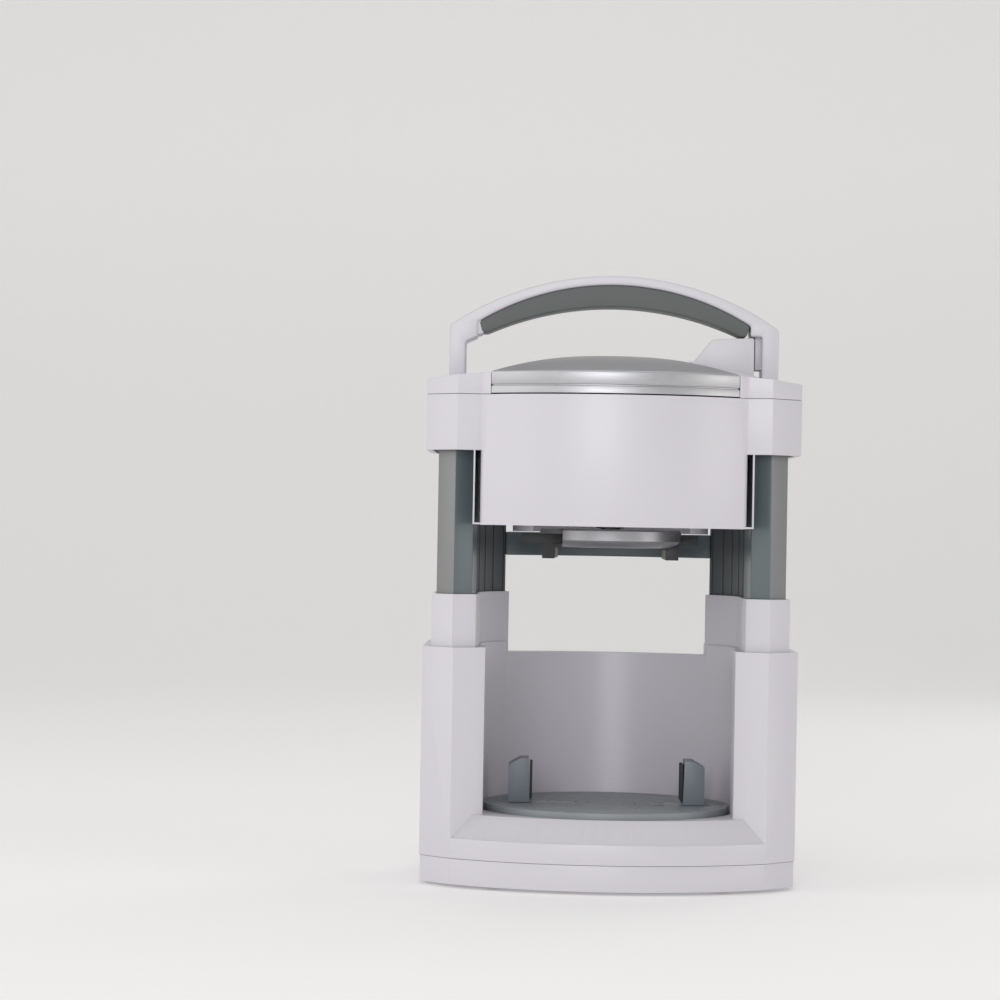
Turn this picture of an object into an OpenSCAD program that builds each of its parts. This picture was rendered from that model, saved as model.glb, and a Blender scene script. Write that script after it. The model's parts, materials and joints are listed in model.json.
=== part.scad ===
// Countertop electric jar opener, shown with its head raised.
// X runs to the right, Y to the back and Z up; the origin lies on the floor
// under the middle of the turntable, whose axis is the Z axis.

/* [Overall] */
// Width across the two side towers
overall_w = 221; // [216:1:226]
// Depth from the front bulge to the back bulge
overall_d = 183; // [181:1:188]
// Height of the head's underside when raised
head_z = 212; // [206:1:216]
// How far the head slides down to close
head_drop = 114; // [100:1:115]
// Wall of the moulded covers
wall = 2.4; // [2:0.1:2.6]
// Gap between covers that meet at a seam
seam_gap = 0.3; // [0.2:0.05:0.5]

/* [Towers] */
// Distance from a tower's side to its upright front edge
facet_w = 18.5; // [17:0.5:20]
// How far the upright front edge lies behind the front bulge
edge_back = 25.5; // [24:0.5:27]
// How far the side's corner lies behind the upright front edge
facet_d = 18; // [16:0.5:20]
// Height of the lower columns
column_top = 140; // [136:1:140]
// Height of the fixed sleeves that stand in the columns
sleeve_top = 171; // [166:1:171]
// Step from a column's side in to the sleeve
sleeve_step = 5; // [4.6:0.1:5.4]
// Wall of a sleeve and of a sliding rail
tube_wall = 2; // [1.6:0.1:2.2]
// Sliding gap between a rail and its sleeve
slide_gap = 0.5; // [0.4:0.1:0.7]

/* [Well] */
// Gap between the turntable and its round well
well_gap = 3; // [2.5:0.1:3.2]
// Half width of the well's front opening
well_x = 73.5; // [73:0.5:75]
// Height of the back wall
back_top = 133; // [125:1:136]
// Height of the front lip
lip_top = 42; // [41:0.5:43]
// Height where the lip starts to slope back
lip_low = 29; // [27:0.5:31]
// How far the lip slopes back
lip_slope = 12.5; // [11:0.5:13]

/* [Base] */
// Thickness of the rubber feet that shows
foot_h = 2; // [1.5:0.5:3]
// Radius of a foot
foot_r = 9; // [7:0.5:11]
// Height of the seam between the base pan and the column shell
pan_top = 17; // [16:0.5:18]
// Height of the deck that carries the turntable
deck_z = 28; // [27.5:0.1:28.3]
// Underside of the lower gears
base_gear_z = 20; // [19:0.5:20.5]

/* [Turntable] */
// Radius of the turntable
table_r = 74; // [72:0.5:75]
// Height of the turntable's top face
table_top = 45.5; // [45:0.1:46]
// Thickness of the turntable's top plate
table_t = 4.3; // [4:0.1:4.5]
// Height of a jar jaw above the turntable
jar_jaw_h = 26.5; // [20:0.5:30]
// Distance from the axis to a jar jaw's inner face
jar_grip = 44.5; // [43:0.5:46]
// How far a jar jaw opens past the modelled place
jar_open = 8; // [4:0.5:9]
// How far a jar jaw closes from the modelled place
jar_close = 28; // [20:0.5:29]

/* [Lid clamp] */
// Radius of the clamp drum
drum_r = 36.5; // [35:0.5:38]
// Distance from the axis to a lid pad's inner face
lid_grip = 31.5; // [30:0.5:33]
// How far a lid jaw opens past the modelled place
lid_open = 18; // [10:0.5:18]
// How far a lid jaw closes from the modelled place
lid_close = 21; // [14:0.5:21]
// How far the lid fingers reach below the drum
finger_h = 7; // [4:0.5:8]

/* [Head] */
// Half width of the head's curved front
body_x = 78; // [77.5:0.5:79]
// How far the valley beside the curved front lies behind the bulge
valley_back = 28.5; // [27:0.5:30]
// Height of the ears' underside above the head's underside
ear_low = 43.7; // [42:0.1:45]
// Height of the seam above the head's underside
head_seam = 76.3; // [75.8:0.1:77]
// Height of the ear caps at their outer side above the head's underside
ear_top = 85.8; // [85.2:0.1:87]
// Rise of an ear cap towards the middle, per millimetre
ear_slope = 0.1; // [0.08:0.01:0.12]
// Height of the band round the silver lid
band_top = 90; // [89:0.5:91]
// Rise of the domed lid above its band
dome_h = 13; // [10:0.5:15]
// Half width of the silver lid
lid_x = 72.3; // [71:0.1:72.8]

/* [Handle] */
// Height of the handle's top above the head's underside
handle_top = 151; // [146:1:156]
// Depth of the handle from front to back
handle_d = 26; // [22:1:30]
// Distance from the middle to a post's outer side
post_x = 99; // [97:0.5:100]
// Thickness of a post
post_t = 10; // [9:0.5:10.5]
// Height of the posts above the head's underside
post_top = 122; // [118:1:124]
// Half length of the soft grip
grip_x = 82; // [80:0.5:83]
// Height of the white band over the grip at the middle
grip_cover = 5.5; // [4:0.5:7]
// Thickness of the grip at the middle
grip_t = 13.3; // [11:0.1:15]

/* [Start button] */
// Travel of the start button
button_travel = 4; // [2:0.5:4]
// Width of the button from front to back
button_w = 23; // [20:0.5:24]

/* [Drive] */
// Module of all gears
gear_m = 1.25; // [1.24:0.01:1.26]
// Backlash at the pitch circle of every gear
backlash = 0.4; // [0.3:0.05:0.5]
// Thickness of the gears
gear_t = 5; // [4:0.5:5.5]
// Width of the square drive rod
rod_w = 5; // [4:0.1:5.2]
// Play between the square rod and its tube
rod_play = 0.3; // [0.2:0.05:0.4]

/* [Hidden] */

white = "#dcdae0";
rail_grey = "#6c7b82";
dark_grey = "#5b6266";
silver = "#b9bdc2";
black = "#26282a";
steel = "#a8abad";
gear_white = "#e6e3d6";

arc_fn = 180;
hole_fn = 48;
eps = 0.01;

well_r = table_r + well_gap;
side_x = overall_w / 2;
front_y = overall_d / 2;
edge_x = side_x - facet_w;
edge_y = front_y - edge_back;
corner_y = edge_y - facet_d;
valley_y = front_y - valley_back;

// The well's front mouth and the lower columns' inner front edge
mouth_y = edge_y - 12;
column_rear_x = 62;
inner_wall = 2.2;
deck_t = 2.5;
deck_top = deck_z + deck_t;
shell_low = pan_top + seam_gap;

// Outline of a right-hand sleeve, before the round well is cut from it
sleeve_out = side_x - sleeve_step;
sleeve_in = well_r + inner_wall + seam_gap;
sleeve_front = edge_y - 7.5;
sleeve_outline = [
    [sleeve_in - 3, 0],
    [sleeve_in, -sleeve_front + 8.5],
    [edge_x + 1, -sleeve_front],
    [sleeve_out, -corner_y + 1.5],
    [sleeve_out, corner_y - 1.5],
    [edge_x + 1, sleeve_front - 0.5],
    [column_rear_x - 1, sleeve_front - 0.5],
    [column_rear_x - 1, sleeve_in / 2]
];

// Gears: numbers of teeth, and where their axles stand
big_n = 60;
head_idler_n = 36;
base_idler_n = 18;
shaft_n = 14;
small_n = 12;
motor_dir = 135;
function pitch_r(n) = gear_m * n / 2;
head_idler_x = pitch_r(big_n) + pitch_r(head_idler_n);
shaft_x = head_idler_x + pitch_r(head_idler_n) + pitch_r(shaft_n);
idler_in_x = pitch_r(big_n) + pitch_r(base_idler_n);
idler_out_x = idler_in_x + 2 * pitch_r(base_idler_n);
motor_place = (pitch_r(big_n) + pitch_r(small_n)) * [cos(motor_dir), sin(motor_dir)];
pinion_r = pitch_r(small_n);
axle_r = 2;
axle_play = 0.1;
hub_r = 14;
pinion_shaft_r = 6;
tube_r = 4.8;

// Levels under the turntable
table_low = table_top - table_t;
rack_t = 2.8;
rack_top = table_low - 0.8;
rack_low = rack_top - rack_t;
under_top = rack_low - 1;
under_low = under_top - 2.5;

// Levels in the head, all above the head's underside
plate_low = head_seam - 2.3;
plate_t = 1.8;
head_gear_z = head_seam + 0.7;
inner_plate_low = head_gear_z + gear_t + 1;
inner_plate_t = 2;

// Rails hang from the gear plate and end just above the deck when closed
rail_low = deck_top + 1 + head_drop;
rail_high = head_z + plate_low - 0.3;

// Front view of the start button above the head's underside, and where its stem,
// spring and switch stand
button_out = 84.3;
button_in = 48.5;
button_low = 91;
button_nose = 100.5;
button_high = 115;
bezel_lap = 2.8;
stem_x = 69;
switch_low = inner_plate_low + inner_plate_t + 1.4;
stem_low = switch_low + 8 + button_travel + 0.1;
spring_x = 58;
spring_high = 98;

// Levels of the rear crossbar, below the head's underside
crossbar_low = -18.5;
crossbar_high = -4;

// Levels of the lid clamp, all below the head's underside
drum_top = -1.5;
arm_top = -4.7;
arm_low = -10.3;
drum_low = -12.5;

// Rack pitch
rack_pitch = PI * gear_m;

// ---------- plans ----------

// Moves each corner of a closed counter-clockwise outline inwards by d
function inset(p, d) = [
    for (i = [0:len(p) - 1])
        let (a = p[(i + len(p) - 1) % len(p)], b = p[i], c = p[(i + 1) % len(p)])
        let (u = (b - a) / norm(b - a), v = (c - b) / norm(c - b))
        let (m = [-u[1], u[0]], n = [-v[1], v[0]])
        b + d / (1 + m * n) * (m + n)
];

// Radius of an arc over half a chord with its rise
function arc_r(half, rise) = (half * half + rise * rise) / (2 * rise);

// Front and back bulges that meet the sides at half width x
module bulges(x, back, d = 0) {
    r = arc_r(x, back);
    intersection() {
        translate([0, r - front_y])
            circle(r = r - d, $fn = arc_fn);
        translate([0, front_y - r])
            circle(r = r - d, $fn = arc_fn);
        square([2 * (x - d), 2 * front_y], center = true);
    }
}

base_outline = [
    [-side_x, -corner_y], [-edge_x, -edge_y], [edge_x, -edge_y], [side_x, -corner_y],
    [side_x, corner_y], [edge_x, edge_y], [-edge_x, edge_y], [-side_x, corner_y]
];
head_outline = [
    [-side_x, -corner_y], [-edge_x, -edge_y], [-body_x, -valley_y],
    [body_x, -valley_y], [edge_x, -edge_y], [side_x, -corner_y],
    [side_x, corner_y], [edge_x, edge_y], [body_x, valley_y],
    [-body_x, valley_y], [-edge_x, edge_y], [-side_x, corner_y]
];

module base_plan(d = 0) {
    bulges(edge_x, edge_back, d);
    polygon(inset(base_outline, d));
}

module head_plan(d = 0) {
    bulges(body_x, valley_back, d);
    polygon(inset(head_outline, d));
}

// The head below the ears, which closes down into the well
side_round = 5.5;
module head_low_plan(d = 0) {
    side_in = well_x - 1.5;
    front_r = arc_r(body_x, valley_back);
    // The corner circles stand out of the bulge by a hair, so that nothing is tangent
    round_r = front_r - side_round + 0.1;
    round_x = body_x - side_round;
    round_y = front_r - front_y - sqrt(pow(round_r, 2) - pow(round_x, 2));
    meet_x = round_x * (front_r - d) / round_r;
    intersection() {
        bulges(body_x, valley_back, d);
        translate([-meet_x, -front_y])
            square([2 * meet_x, front_y + round_y]);
    }
    intersection() {
        circle(r = well_r - 1.6 - d, $fn = arc_fn);
        square([2 * (side_in - d), 2 * front_y], center = true);
    }
    for (s = [-1, 1])
        translate([s * round_x, round_y])
            circle(r = side_round - d, $fn = hole_fn);
    translate([-side_in + d, round_y])
        square([2 * (side_in - d), -round_y]);
}

// Both sides, the right one as drawn and the left one mirrored
module both_sides() {
    children();
    mirror([1, 0, 0])
        children();
}

// A slab of a plan from z_low to z_high
module slab(z_low, z_high) {
    translate([0, 0, z_low])
        linear_extrude(height = z_high - z_low)
            children();
}

module disc(r, z_low, z_high, fn = arc_fn) {
    translate([0, 0, z_low])
        cylinder(r = r, h = z_high - z_low, $fn = fn);
}

module ring(r_out, r_in, z_low, z_high, fn = arc_fn) {
    difference() {
        disc(r_out, z_low, z_high, fn);
        disc(r_in, z_low - 1, z_high + 1, fn);
    }
}

// A block given by its lowest and highest corners
module block(low, high) {
    translate(low)
        cube(high - low);
}

// Right-hand column, with d as the inset of its outer walls
module column_plan(d = 0) {
    front = [
        [well_x, 0], [well_x, -mouth_y], [edge_x, -edge_y], [side_x, -corner_y], [side_x, 0]
    ];
    wall_in = d > 0 ? inner_wall : 0;
    difference() {
        union() {
            intersection() {
                polygon(inset(front, d));
                translate([well_x + wall_in, -front_y])
                    square([side_x, front_y + 1]);
            }
            intersection() {
                base_plan(d);
                translate([column_rear_x + wall_in, -d - 1])
                    square([side_x, front_y + d + 1]);
            }
        }
        if (d > 0)
            circle(r = well_r + wall_in, $fn = arc_fn);
    }
}

// Right-hand sleeve or rail, inset by d from the sleeve's outside
module tube_plan(d = 0) {
    difference() {
        polygon(inset(sleeve_outline, d));
        circle(r = sleeve_in + d, $fn = arc_fn);
    }
}

// ---------- gears ----------

// Involute of an angle, in degrees
function inv(a) = tan(a) * 180 / PI - a;

// Half the angle that a tooth fills at radius r
function half_tooth(n, r) =
    let (rp = pitch_r(n), rb = rp * cos(20), a = acos(min(1, rb / max(r, rb))))
    90 / n - backlash / (4 * rp) * 180 / PI + inv(20) - inv(a);

// Outline of an involute gear with one tooth centred on the X axis
function gear_outline(n) =
    let (rp = pitch_r(n), low = rp - 1.25 * gear_m, high = rp + 0.9 * gear_m)
    let (steps = [low, rp - 0.5 * gear_m, rp, rp + 0.5 * gear_m, high])
    [for (i = [0:n - 1], s = [-1, 1], k = [0:4])
        let (r = steps[s < 0 ? k : 4 - k])
        r * [cos(i * 360 / n + s * half_tooth(n, r)), sin(i * 360 / n + s * half_tooth(n, r))]];

// Turn of a gear of n2 teeth so that it meshes with one of n1 teeth turned by phi1,
// where dir is the direction from the first gear's axle to the second's
function mate(phi1, n1, n2, dir) = dir + 180 + ((dir - phi1) * n1 / 360 + 0.5) * 360 / n2;

head_idler_turn = mate(0, big_n, head_idler_n, 0);
rod_gear_turn = mate(head_idler_turn, head_idler_n, shaft_n, 0);
motor_pinion_turn = mate(0, big_n, small_n, motor_dir);
idler_in_turn = mate(0, big_n, base_idler_n, 0);
idler_out_turn = mate(idler_in_turn, base_idler_n, base_idler_n, 0);
tube_gear_turn = mate(idler_out_turn, base_idler_n, shaft_n, 0);

module gear(n, z, bore_r, turn = 0, t = gear_t) {
    difference() {
        slab(z, z + t)
            rotate(turn)
                polygon(gear_outline(n));
        disc(bore_r, z - 1, z + t + 1, hole_fn);
    }
}

// A straight rack with its teeth towards +Y and a tooth gap at x = 0;
// it runs from tooth number first to tooth number last
module rack_plan(first, last, back) {
    flank = tan(20);
    thick = rack_pitch / 2 - backlash / 2;
    tip = 0.9 * gear_m;
    root = 1.25 * gear_m;
    translate([(first - 0.3) * rack_pitch, -root - back])
        square([(last - first + 1.6) * rack_pitch, back + eps]);
    for (i = [first:last])
        translate([(i + 0.5) * rack_pitch, 0])
            polygon([
                [-thick / 2 - root * flank, -root - eps], [thick / 2 + root * flank, -root - eps],
                [thick / 2 - tip * flank, tip], [-thick / 2 + tip * flank, tip]
            ]);
}

// ---------- base ----------

foot_x = edge_x - 9;
foot_y = corner_y - 5;
module at_corners(x, y) {
    for (sx = [-1, 1], sy = [-1, 1])
        translate([sx * x, sy * y, 0])
            children();
}

module feet() {
    color("#3a3c3e")
        at_corners(foot_x, foot_y)
            union() {
                disc(foot_r, 0, foot_h + 1, hole_fn);
                disc(foot_r / 3, foot_h + 1, foot_h + 4.6, hole_fn);
            }
}

base_screw_x = edge_x - 26;
base_screw_y = edge_y + 2;
screw_r = 2;
screw_head_r = 4;
pan_floor = 2.4;
boss_r = 6;
boss_top = base_gear_z - 0.4;
base_axles = [0, idler_in_x, idler_out_x, shaft_x];

module base_pan() {
    color(white)
        difference() {
            union() {
                difference() {
                    slab(foot_h, pan_top)
                        base_plan(0.6);
                    slab(foot_h + pan_floor, pan_top + 1)
                        base_plan(0.6 + wall);
                }
                for (x = base_axles)
                    translate([x, 0, 0])
                        union() {
                            disc(boss_r, foot_h + pan_floor, boss_top, hole_fn);
                            disc(axle_r, boss_top - eps, base_gear_z + gear_t + 1, hole_fn);
                        }
                at_corners(base_screw_x, base_screw_y)
                    disc(screw_head_r + 2, foot_h + pan_floor, pan_top, hole_fn);
            }
            at_corners(foot_x, foot_y)
                union() {
                    disc(foot_r + 0.1, foot_h - 1, foot_h + 1, hole_fn);
                    disc(foot_r / 3, foot_h, foot_h + pan_floor + 1, hole_fn);
                }
            at_corners(base_screw_x, base_screw_y)
                union() {
                    disc(screw_r + 0.15, foot_h - 1, pan_top + 1, hole_fn);
                    disc(screw_head_r + 0.2, foot_h - 1, foot_h + 9, hole_fn);
                }
        }
}

module base_screws() {
    color(steel)
        at_corners(base_screw_x, base_screw_y)
            difference() {
                union() {
                    disc(screw_head_r, foot_h + 6, foot_h + 9, hole_fn);
                    disc(screw_r, foot_h + 9 - eps, pan_top + 9, hole_fn);
                }
                for (turn = [0, 90])
                    rotate(turn)
                        block([-2.4, -0.5, foot_h + 5], [2.4, 0.5, foot_h + 7]);
            }
}

lip_r = arc_r(edge_x, edge_back);
crossbar_in = 1.6;
crossbar_t = 3.2;
bar_slot_in = sleeve_in + crossbar_in - 1.2;
bar_slot_out = bar_slot_in + crossbar_t + 2.4;
bar_slot_low = head_z - head_drop + crossbar_low - 2;
rib_x = column_rear_x + 0.6;
column_cap = 2.3;

module base_shell() {
    color(white)
        difference() {
            union() {
                difference() {
                    base_solid();
                    base_hollows();
                }
                // Screw posts that hang from the deck
                at_corners(base_screw_x, base_screw_y)
                    disc(screw_head_r, pan_top + 0.1, deck_z + 1, hole_fn);
            }
            at_corners(base_screw_x, base_screw_y)
                disc(screw_r, pan_top, deck_top - 0.8, hole_fn);
        }
}

// Skirt, sloping lip, columns and back wall, still solid
lip_step = 0.5;
module base_solid() {
    slab(shell_low, lip_low)
        base_plan();
    intersection() {
        translate([0, lip_r - front_y, lip_low - 0.6])
            cylinder(
                r1 = lip_r - lip_step, r2 = lip_r - lip_step - lip_slope,
                h = lip_top - lip_low + 0.6, $fn = arc_fn
            );
        block([-edge_x + 2, -front_y, lip_low - 0.6], [edge_x - 2, 4, lip_top]);
    }
    both_sides()
        slab(shell_low, column_top)
            column_plan();
    slab(shell_low, back_top)
        intersection() {
            base_plan();
            translate([-column_rear_x - 1, 0])
                square([2 * column_rear_x + 2, front_y]);
        }
}

module base_hollows() {
    // The round well
    disc(well_r, deck_top, column_top + 1);
    // Hollow below the deck
    slab(shell_low - 1, deck_z)
        base_plan(wall);
    // Hollow columns, with room for each sleeve
    both_sides()
        union() {
            slab(deck_top, column_top - column_cap)
                column_plan(wall);
            slab(deck_top, column_top + 1)
                tube_plan(-slide_gap);
            translate([shaft_x, 0, 0])
                disc(tube_r + 2, deck_z - 1, deck_top + 1, hole_fn);
        }
    // Hollow back wall between two ribs, and the slot that the crossbar slides down
    slab(deck_top, back_top - column_cap)
        difference() {
            intersection() {
                base_plan(wall);
                translate([-rib_x, 0])
                    square([2 * rib_x, front_y]);
            }
            circle(r = well_r + inner_wall, $fn = arc_fn);
        }
    slab(bar_slot_low, column_top + 1)
        bar_slot(bar_slot_in, bar_slot_out);
    disc(hub_r + 3.6, deck_z - 1, deck_top + 1);
}

// The arc that the rear crossbar sweeps
module bar_slot(r_in, r_out) {
    intersection() {
        difference() {
            circle(r = r_out, $fn = arc_fn);
            circle(r = r_in, $fn = arc_fn);
        }
        translate([-column_rear_x - 3, 40])
            square([2 * column_rear_x + 6, front_y]);
    }
}

module sleeve() {
    color(white)
        difference() {
            slab(deck_top, sleeve_top)
                tube_plan();
            slab(deck_top - 1, sleeve_top + 1)
                tube_plan(tube_wall);
            slab(bar_slot_low, sleeve_top + 1)
                bar_slot(bar_slot_in, bar_slot_out);
        }
}

module sleeve_right() sleeve();
module sleeve_left() mirror([1, 0, 0]) sleeve();

// ---------- turntable ----------

jar_jaw_w = 14.4;
jar_jaw_d = 24;
jar_foot_w = 10;
slot_play = 0.3;
table_skirt = 2.5;
jar_mid = jar_grip + jar_jaw_w / 2;
jar_pad_t = 1.6;
groove_step = (table_r - 42) / 4;

module turntable() {
    color(dark_grey)
        difference() {
            union() {
                disc(table_r, table_low, table_top);
                ring(table_r, table_r - table_skirt, under_top, table_low + eps);
            }
            for (s = [-1, 1])
                mirror([s < 0 ? 1 : 0, 0, 0])
                    block(
                        [jar_mid - jar_close - jar_foot_w / 2 - 1, -jar_foot_w / 2 - slot_play, table_low - 1],
                        [jar_mid + jar_open + jar_foot_w / 2 + 1, jar_foot_w / 2 + slot_play, table_top + 1]
                    );
            // Round grooves that grip a jar's foot
            for (i = [1:4])
                ring(groove_step * i + 4, groove_step * i + 3, table_top - 0.5, table_top + 1);
        }
}

module turntable_plate() {
    color(dark_grey)
        difference() {
            union() {
                disc(table_r, under_low, under_top);
                disc(hub_r, base_gear_z - 1, under_low + eps);
            }
            disc(pinion_shaft_r + 0.1, base_gear_z - 2, under_top + 1, hole_fn);
        }
}

module turntable_gear() {
    color(gear_white)
        gear(big_n, base_gear_z, hub_r);
}

module turntable_bush() {
    color(gear_white)
        union() {
            ring(hub_r + 3.5, hub_r + 0.08, deck_z - 0.5, deck_top + eps);
            ring(hub_r + 6, hub_r + 0.08, deck_top, under_low - 0.15);
        }
}

// The left jar jaw: a finger, its foot through the slot, and its rack
rack_back = 4.4;
module jar_jaw() {
    finger_low = table_top + 0.3;
    finger_high = table_top + jar_jaw_h;
    out = jar_grip + jar_jaw_w;
    face = jar_grip + jar_pad_t;
    color(rail_grey)
        union() {
            translate([0, jar_jaw_d / 2, 0])
                rotate([90, 0, 0])
                    linear_extrude(height = jar_jaw_d)
                        polygon([
                            [-out, finger_low], [-face, finger_low], [-face - 0.8, finger_high],
                            [-face - 6, finger_high], [-out, finger_high - 4]
                        ]);
            block(
                [-jar_mid - jar_foot_w / 2, -jar_foot_w / 2, rack_top - eps],
                [-jar_mid + jar_foot_w / 2, jar_foot_w / 2, finger_low + eps]
            );
            slab(rack_low, rack_top)
                polygon([
                    [-jar_mid - jar_foot_w / 2, -jar_foot_w / 2], [-jar_mid, -pinion_r - 6],
                    [-jar_mid + jar_foot_w / 2, -pinion_r - 6],
                    [-jar_mid + jar_foot_w / 2, jar_foot_w / 2], [-jar_mid - jar_foot_w / 2, jar_foot_w / 2]
                ]);
            slab(rack_low, rack_top)
                translate([0, -pinion_r])
                    rack_plan(
                        -floor(jar_mid / rack_pitch) + 1, ceil(jar_open / rack_pitch) + 1, rack_back
                    );
        }
}

module jar_jaw_left() jar_jaw();
module jar_jaw_right() rotate(180) jar_jaw();

module jar_pad() {
    ribs = 8;
    rib_step = (jar_jaw_d - 4) / ribs;
    z_low = table_top + 2;
    z_high = table_top + jar_jaw_h - 2;
    color(black)
        union() {
            block(
                [-jar_grip - jar_pad_t, -jar_jaw_d / 2 + 1, z_low],
                [-jar_grip - 0.6, jar_jaw_d / 2 - 1, z_high]
            );
            for (i = [0:ribs - 1])
                block(
                    [-jar_grip - 0.61, -jar_jaw_d / 2 + 2 + (i + 0.2) * rib_step, z_low],
                    [-jar_grip, -jar_jaw_d / 2 + 2 + (i + 0.8) * rib_step, z_high]
                );
        }
}

module jar_pad_left() jar_pad();
module jar_pad_right() rotate(180) jar_pad();

module jar_pinion() {
    color(gear_white)
        difference() {
            union() {
                gear(small_n, rack_low + 0.2, axle_r, 0, rack_top - rack_low - 0.4);
                disc(pinion_shaft_r, base_gear_z + 1, rack_low + 0.3, hole_fn);
            }
            disc(axle_r + axle_play, base_gear_z - 1, rack_top + 1, hole_fn);
        }
}

// ---------- drive to the turntable ----------

module base_idler(x, turn) {
    color(gear_white)
        translate([x, 0, 0])
            gear(base_idler_n, base_gear_z, axle_r + axle_play, turn);
}

module base_idler_inner() base_idler(idler_in_x, idler_in_turn);
module base_idler_outer() base_idler(idler_out_x, idler_out_turn);

module tube_gear() {
    color(gear_white)
        translate([shaft_x, 0, 0])
            gear(shaft_n, base_gear_z, axle_r + axle_play, tube_gear_turn);
}

tube_low = base_gear_z + gear_t;
tube_top = sleeve_top - 6;
module square_bore(width, z_low, z_high) {
    block([-width / 2, -width / 2, z_low], [width / 2, width / 2, z_high]);
}

module drive_tube() {
    color(steel)
        translate([shaft_x, 0, 0])
            difference() {
                disc(tube_r, tube_low, tube_top, hole_fn);
                disc(axle_r + axle_play, tube_low - 1, tube_low + 2, hole_fn);
                square_bore(rod_w + rod_play, tube_low + 1.5, tube_top + 1);
            }
}

// ---------- head ----------

// Height of the ear caps' sloping top at distance x from the middle
function cap_z(x) = ear_top + (side_x - x) * ear_slope;

module in_head() {
    translate([0, 0, head_z])
        children();
}

collar_r = 59;
collar_h = 3.5;
spindle_r = 6;
bush_r = spindle_r + 2.5;
plate_screw_places = [[66, 40], [66, -40], [-66, 40], [-66, -40], [0, 66], [0, -66]];
cord_hole_r = 5;
cord_z = 62;

module head_shell() {
    color(white)
        in_head()
            difference() {
                union() {
                    slab(0, ear_low + 1)
                        head_low_plan();
                    slab(ear_low, head_seam)
                        head_plan();
                    ring(collar_r, collar_r - 2.2, -collar_h, eps);
                }
                slab(wall, ear_low + wall + 1)
                    head_low_plan(wall);
                slab(ear_low + wall, head_seam + 1)
                    head_plan(wall + 1.9);
                slab(plate_low, head_seam + 1)
                    head_plan(wall);
                both_sides()
                    slab(ear_low - 1, ear_low + wall + 1)
                        tube_plan(-1.2);
                disc(bush_r, -1, wall + 1, hole_fn);
                translate([0, front_y + 1, cord_z])
                    rotate([90, 0, 0])
                        cylinder(r = cord_hole_r, h = 14, $fn = hole_fn);
            }
}

module cord_bush() {
    color(black)
        in_head()
            translate([0, front_y - 0.2, cord_z])
                rotate([90, 0, 0])
                    difference() {
                        union() {
                            cylinder(r = cord_hole_r, h = 9, $fn = hole_fn);
                            translate([0, 0, wall + 2.5])
                                cylinder(r = cord_hole_r + 2, h = 2, $fn = hole_fn);
                        }
                        translate([0, 0, -1])
                            cylinder(r = 3.2, h = 11, $fn = hole_fn);
                    }
}

module gear_plate() {
    color(steel)
        in_head()
            difference() {
                slab(plate_low, plate_low + plate_t)
                    head_plan(wall + 0.4);
                disc(bush_r, plate_low - 1, head_seam, hole_fn);
                translate(motor_place)
                    disc(motor_boss_r, plate_low - 1, head_seam, hole_fn);
                translate([shaft_x, 0, 0])
                    disc(rod_neck_r + 0.3, plate_low - 1, head_seam, hole_fn);
                for (place = plate_screw_places)
                    translate(place)
                        disc(screw_r, plate_low - 1, head_seam, hole_fn);
            }
    color(steel)
        in_head()
            translate([head_idler_x, 0, 0])
                disc(axle_r, plate_low + plate_t - eps, head_gear_z + gear_t + 0.8, hole_fn);
}

module plate_screws() {
    color(steel)
        in_head()
            for (place = plate_screw_places)
                translate(place)
                    union() {
                        disc(screw_r, plate_low - 8, plate_low + plate_t + eps, hole_fn);
                        disc(screw_head_r - 0.6, plate_low + plate_t, plate_low + plate_t + 2, hole_fn);
                    }
}

motor_r = 18;
motor_h = 44;
motor_boss_r = 5;
motor_shaft_r = 1.6;
rod_neck_r = 4;

module motor() {
    color(steel)
        in_head()
            translate(motor_place)
                difference() {
                    union() {
                        disc(motor_r, plate_low - motor_h, plate_low, arc_fn);
                        disc(motor_boss_r - 0.1, plate_low - eps, plate_low + plate_t, hole_fn);
                        disc(motor_boss_r, plate_low - motor_h - 5, plate_low - motor_h + eps, hole_fn);
                    }
                    disc(motor_shaft_r + 0.08, plate_low - 12, head_seam, hole_fn);
                }
}

module motor_pinion() {
    color(steel)
        in_head()
            translate(motor_place)
                union() {
                    gear(small_n, head_gear_z, motor_shaft_r - eps, motor_pinion_turn);
                    disc(motor_shaft_r, plate_low - 11.5, head_gear_z + gear_t + 0.5, hole_fn);
                }
}

module spindle() {
    color(steel)
        in_head()
            ring(spindle_r, 3, drum_top - eps, head_gear_z + gear_t + 0.5, hole_fn);
}

module spindle_gear() {
    color(gear_white)
        in_head()
            gear(big_n, head_gear_z, spindle_r);
}

module spindle_bush(z_low, z_high) {
    color(gear_white)
        in_head()
            union() {
                ring(bush_r, spindle_r + 0.06, z_low, z_high, hole_fn);
                ring(bush_r + 2, spindle_r + 0.06, z_high, z_high + 1.2, hole_fn);
            }
}

module spindle_bush_low() spindle_bush(-0.8, wall);
module spindle_bush_top() {
    color(gear_white)
        in_head()
            union() {
                ring(bush_r, spindle_r + 0.06, plate_low, plate_low + plate_t, hole_fn);
                ring(bush_r + 2, spindle_r + 0.06, plate_low - 1.2, plate_low, hole_fn);
            }
}

module head_idler() {
    color(gear_white)
        in_head()
            translate([head_idler_x, 0, 0])
                gear(head_idler_n, head_gear_z, axle_r + axle_play, head_idler_turn);
}

module rod_gear() {
    color(gear_white)
        in_head()
            translate([shaft_x, 0, 0])
                gear(shaft_n, head_gear_z, rod_neck_r, rod_gear_turn);
}

// The square rod reaches down into the drive tube at the top of the travel
module drive_rod() {
    rod_bottom = tube_low + 4 + head_drop;
    color(steel)
        translate([shaft_x, 0, 0])
            union() {
                square_bore(rod_w, rod_bottom, head_z + plate_low - 3);
                disc(rod_neck_r, head_z + plate_low - 3 - eps, head_z + head_gear_z + gear_t, hole_fn);
            }
}

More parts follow.
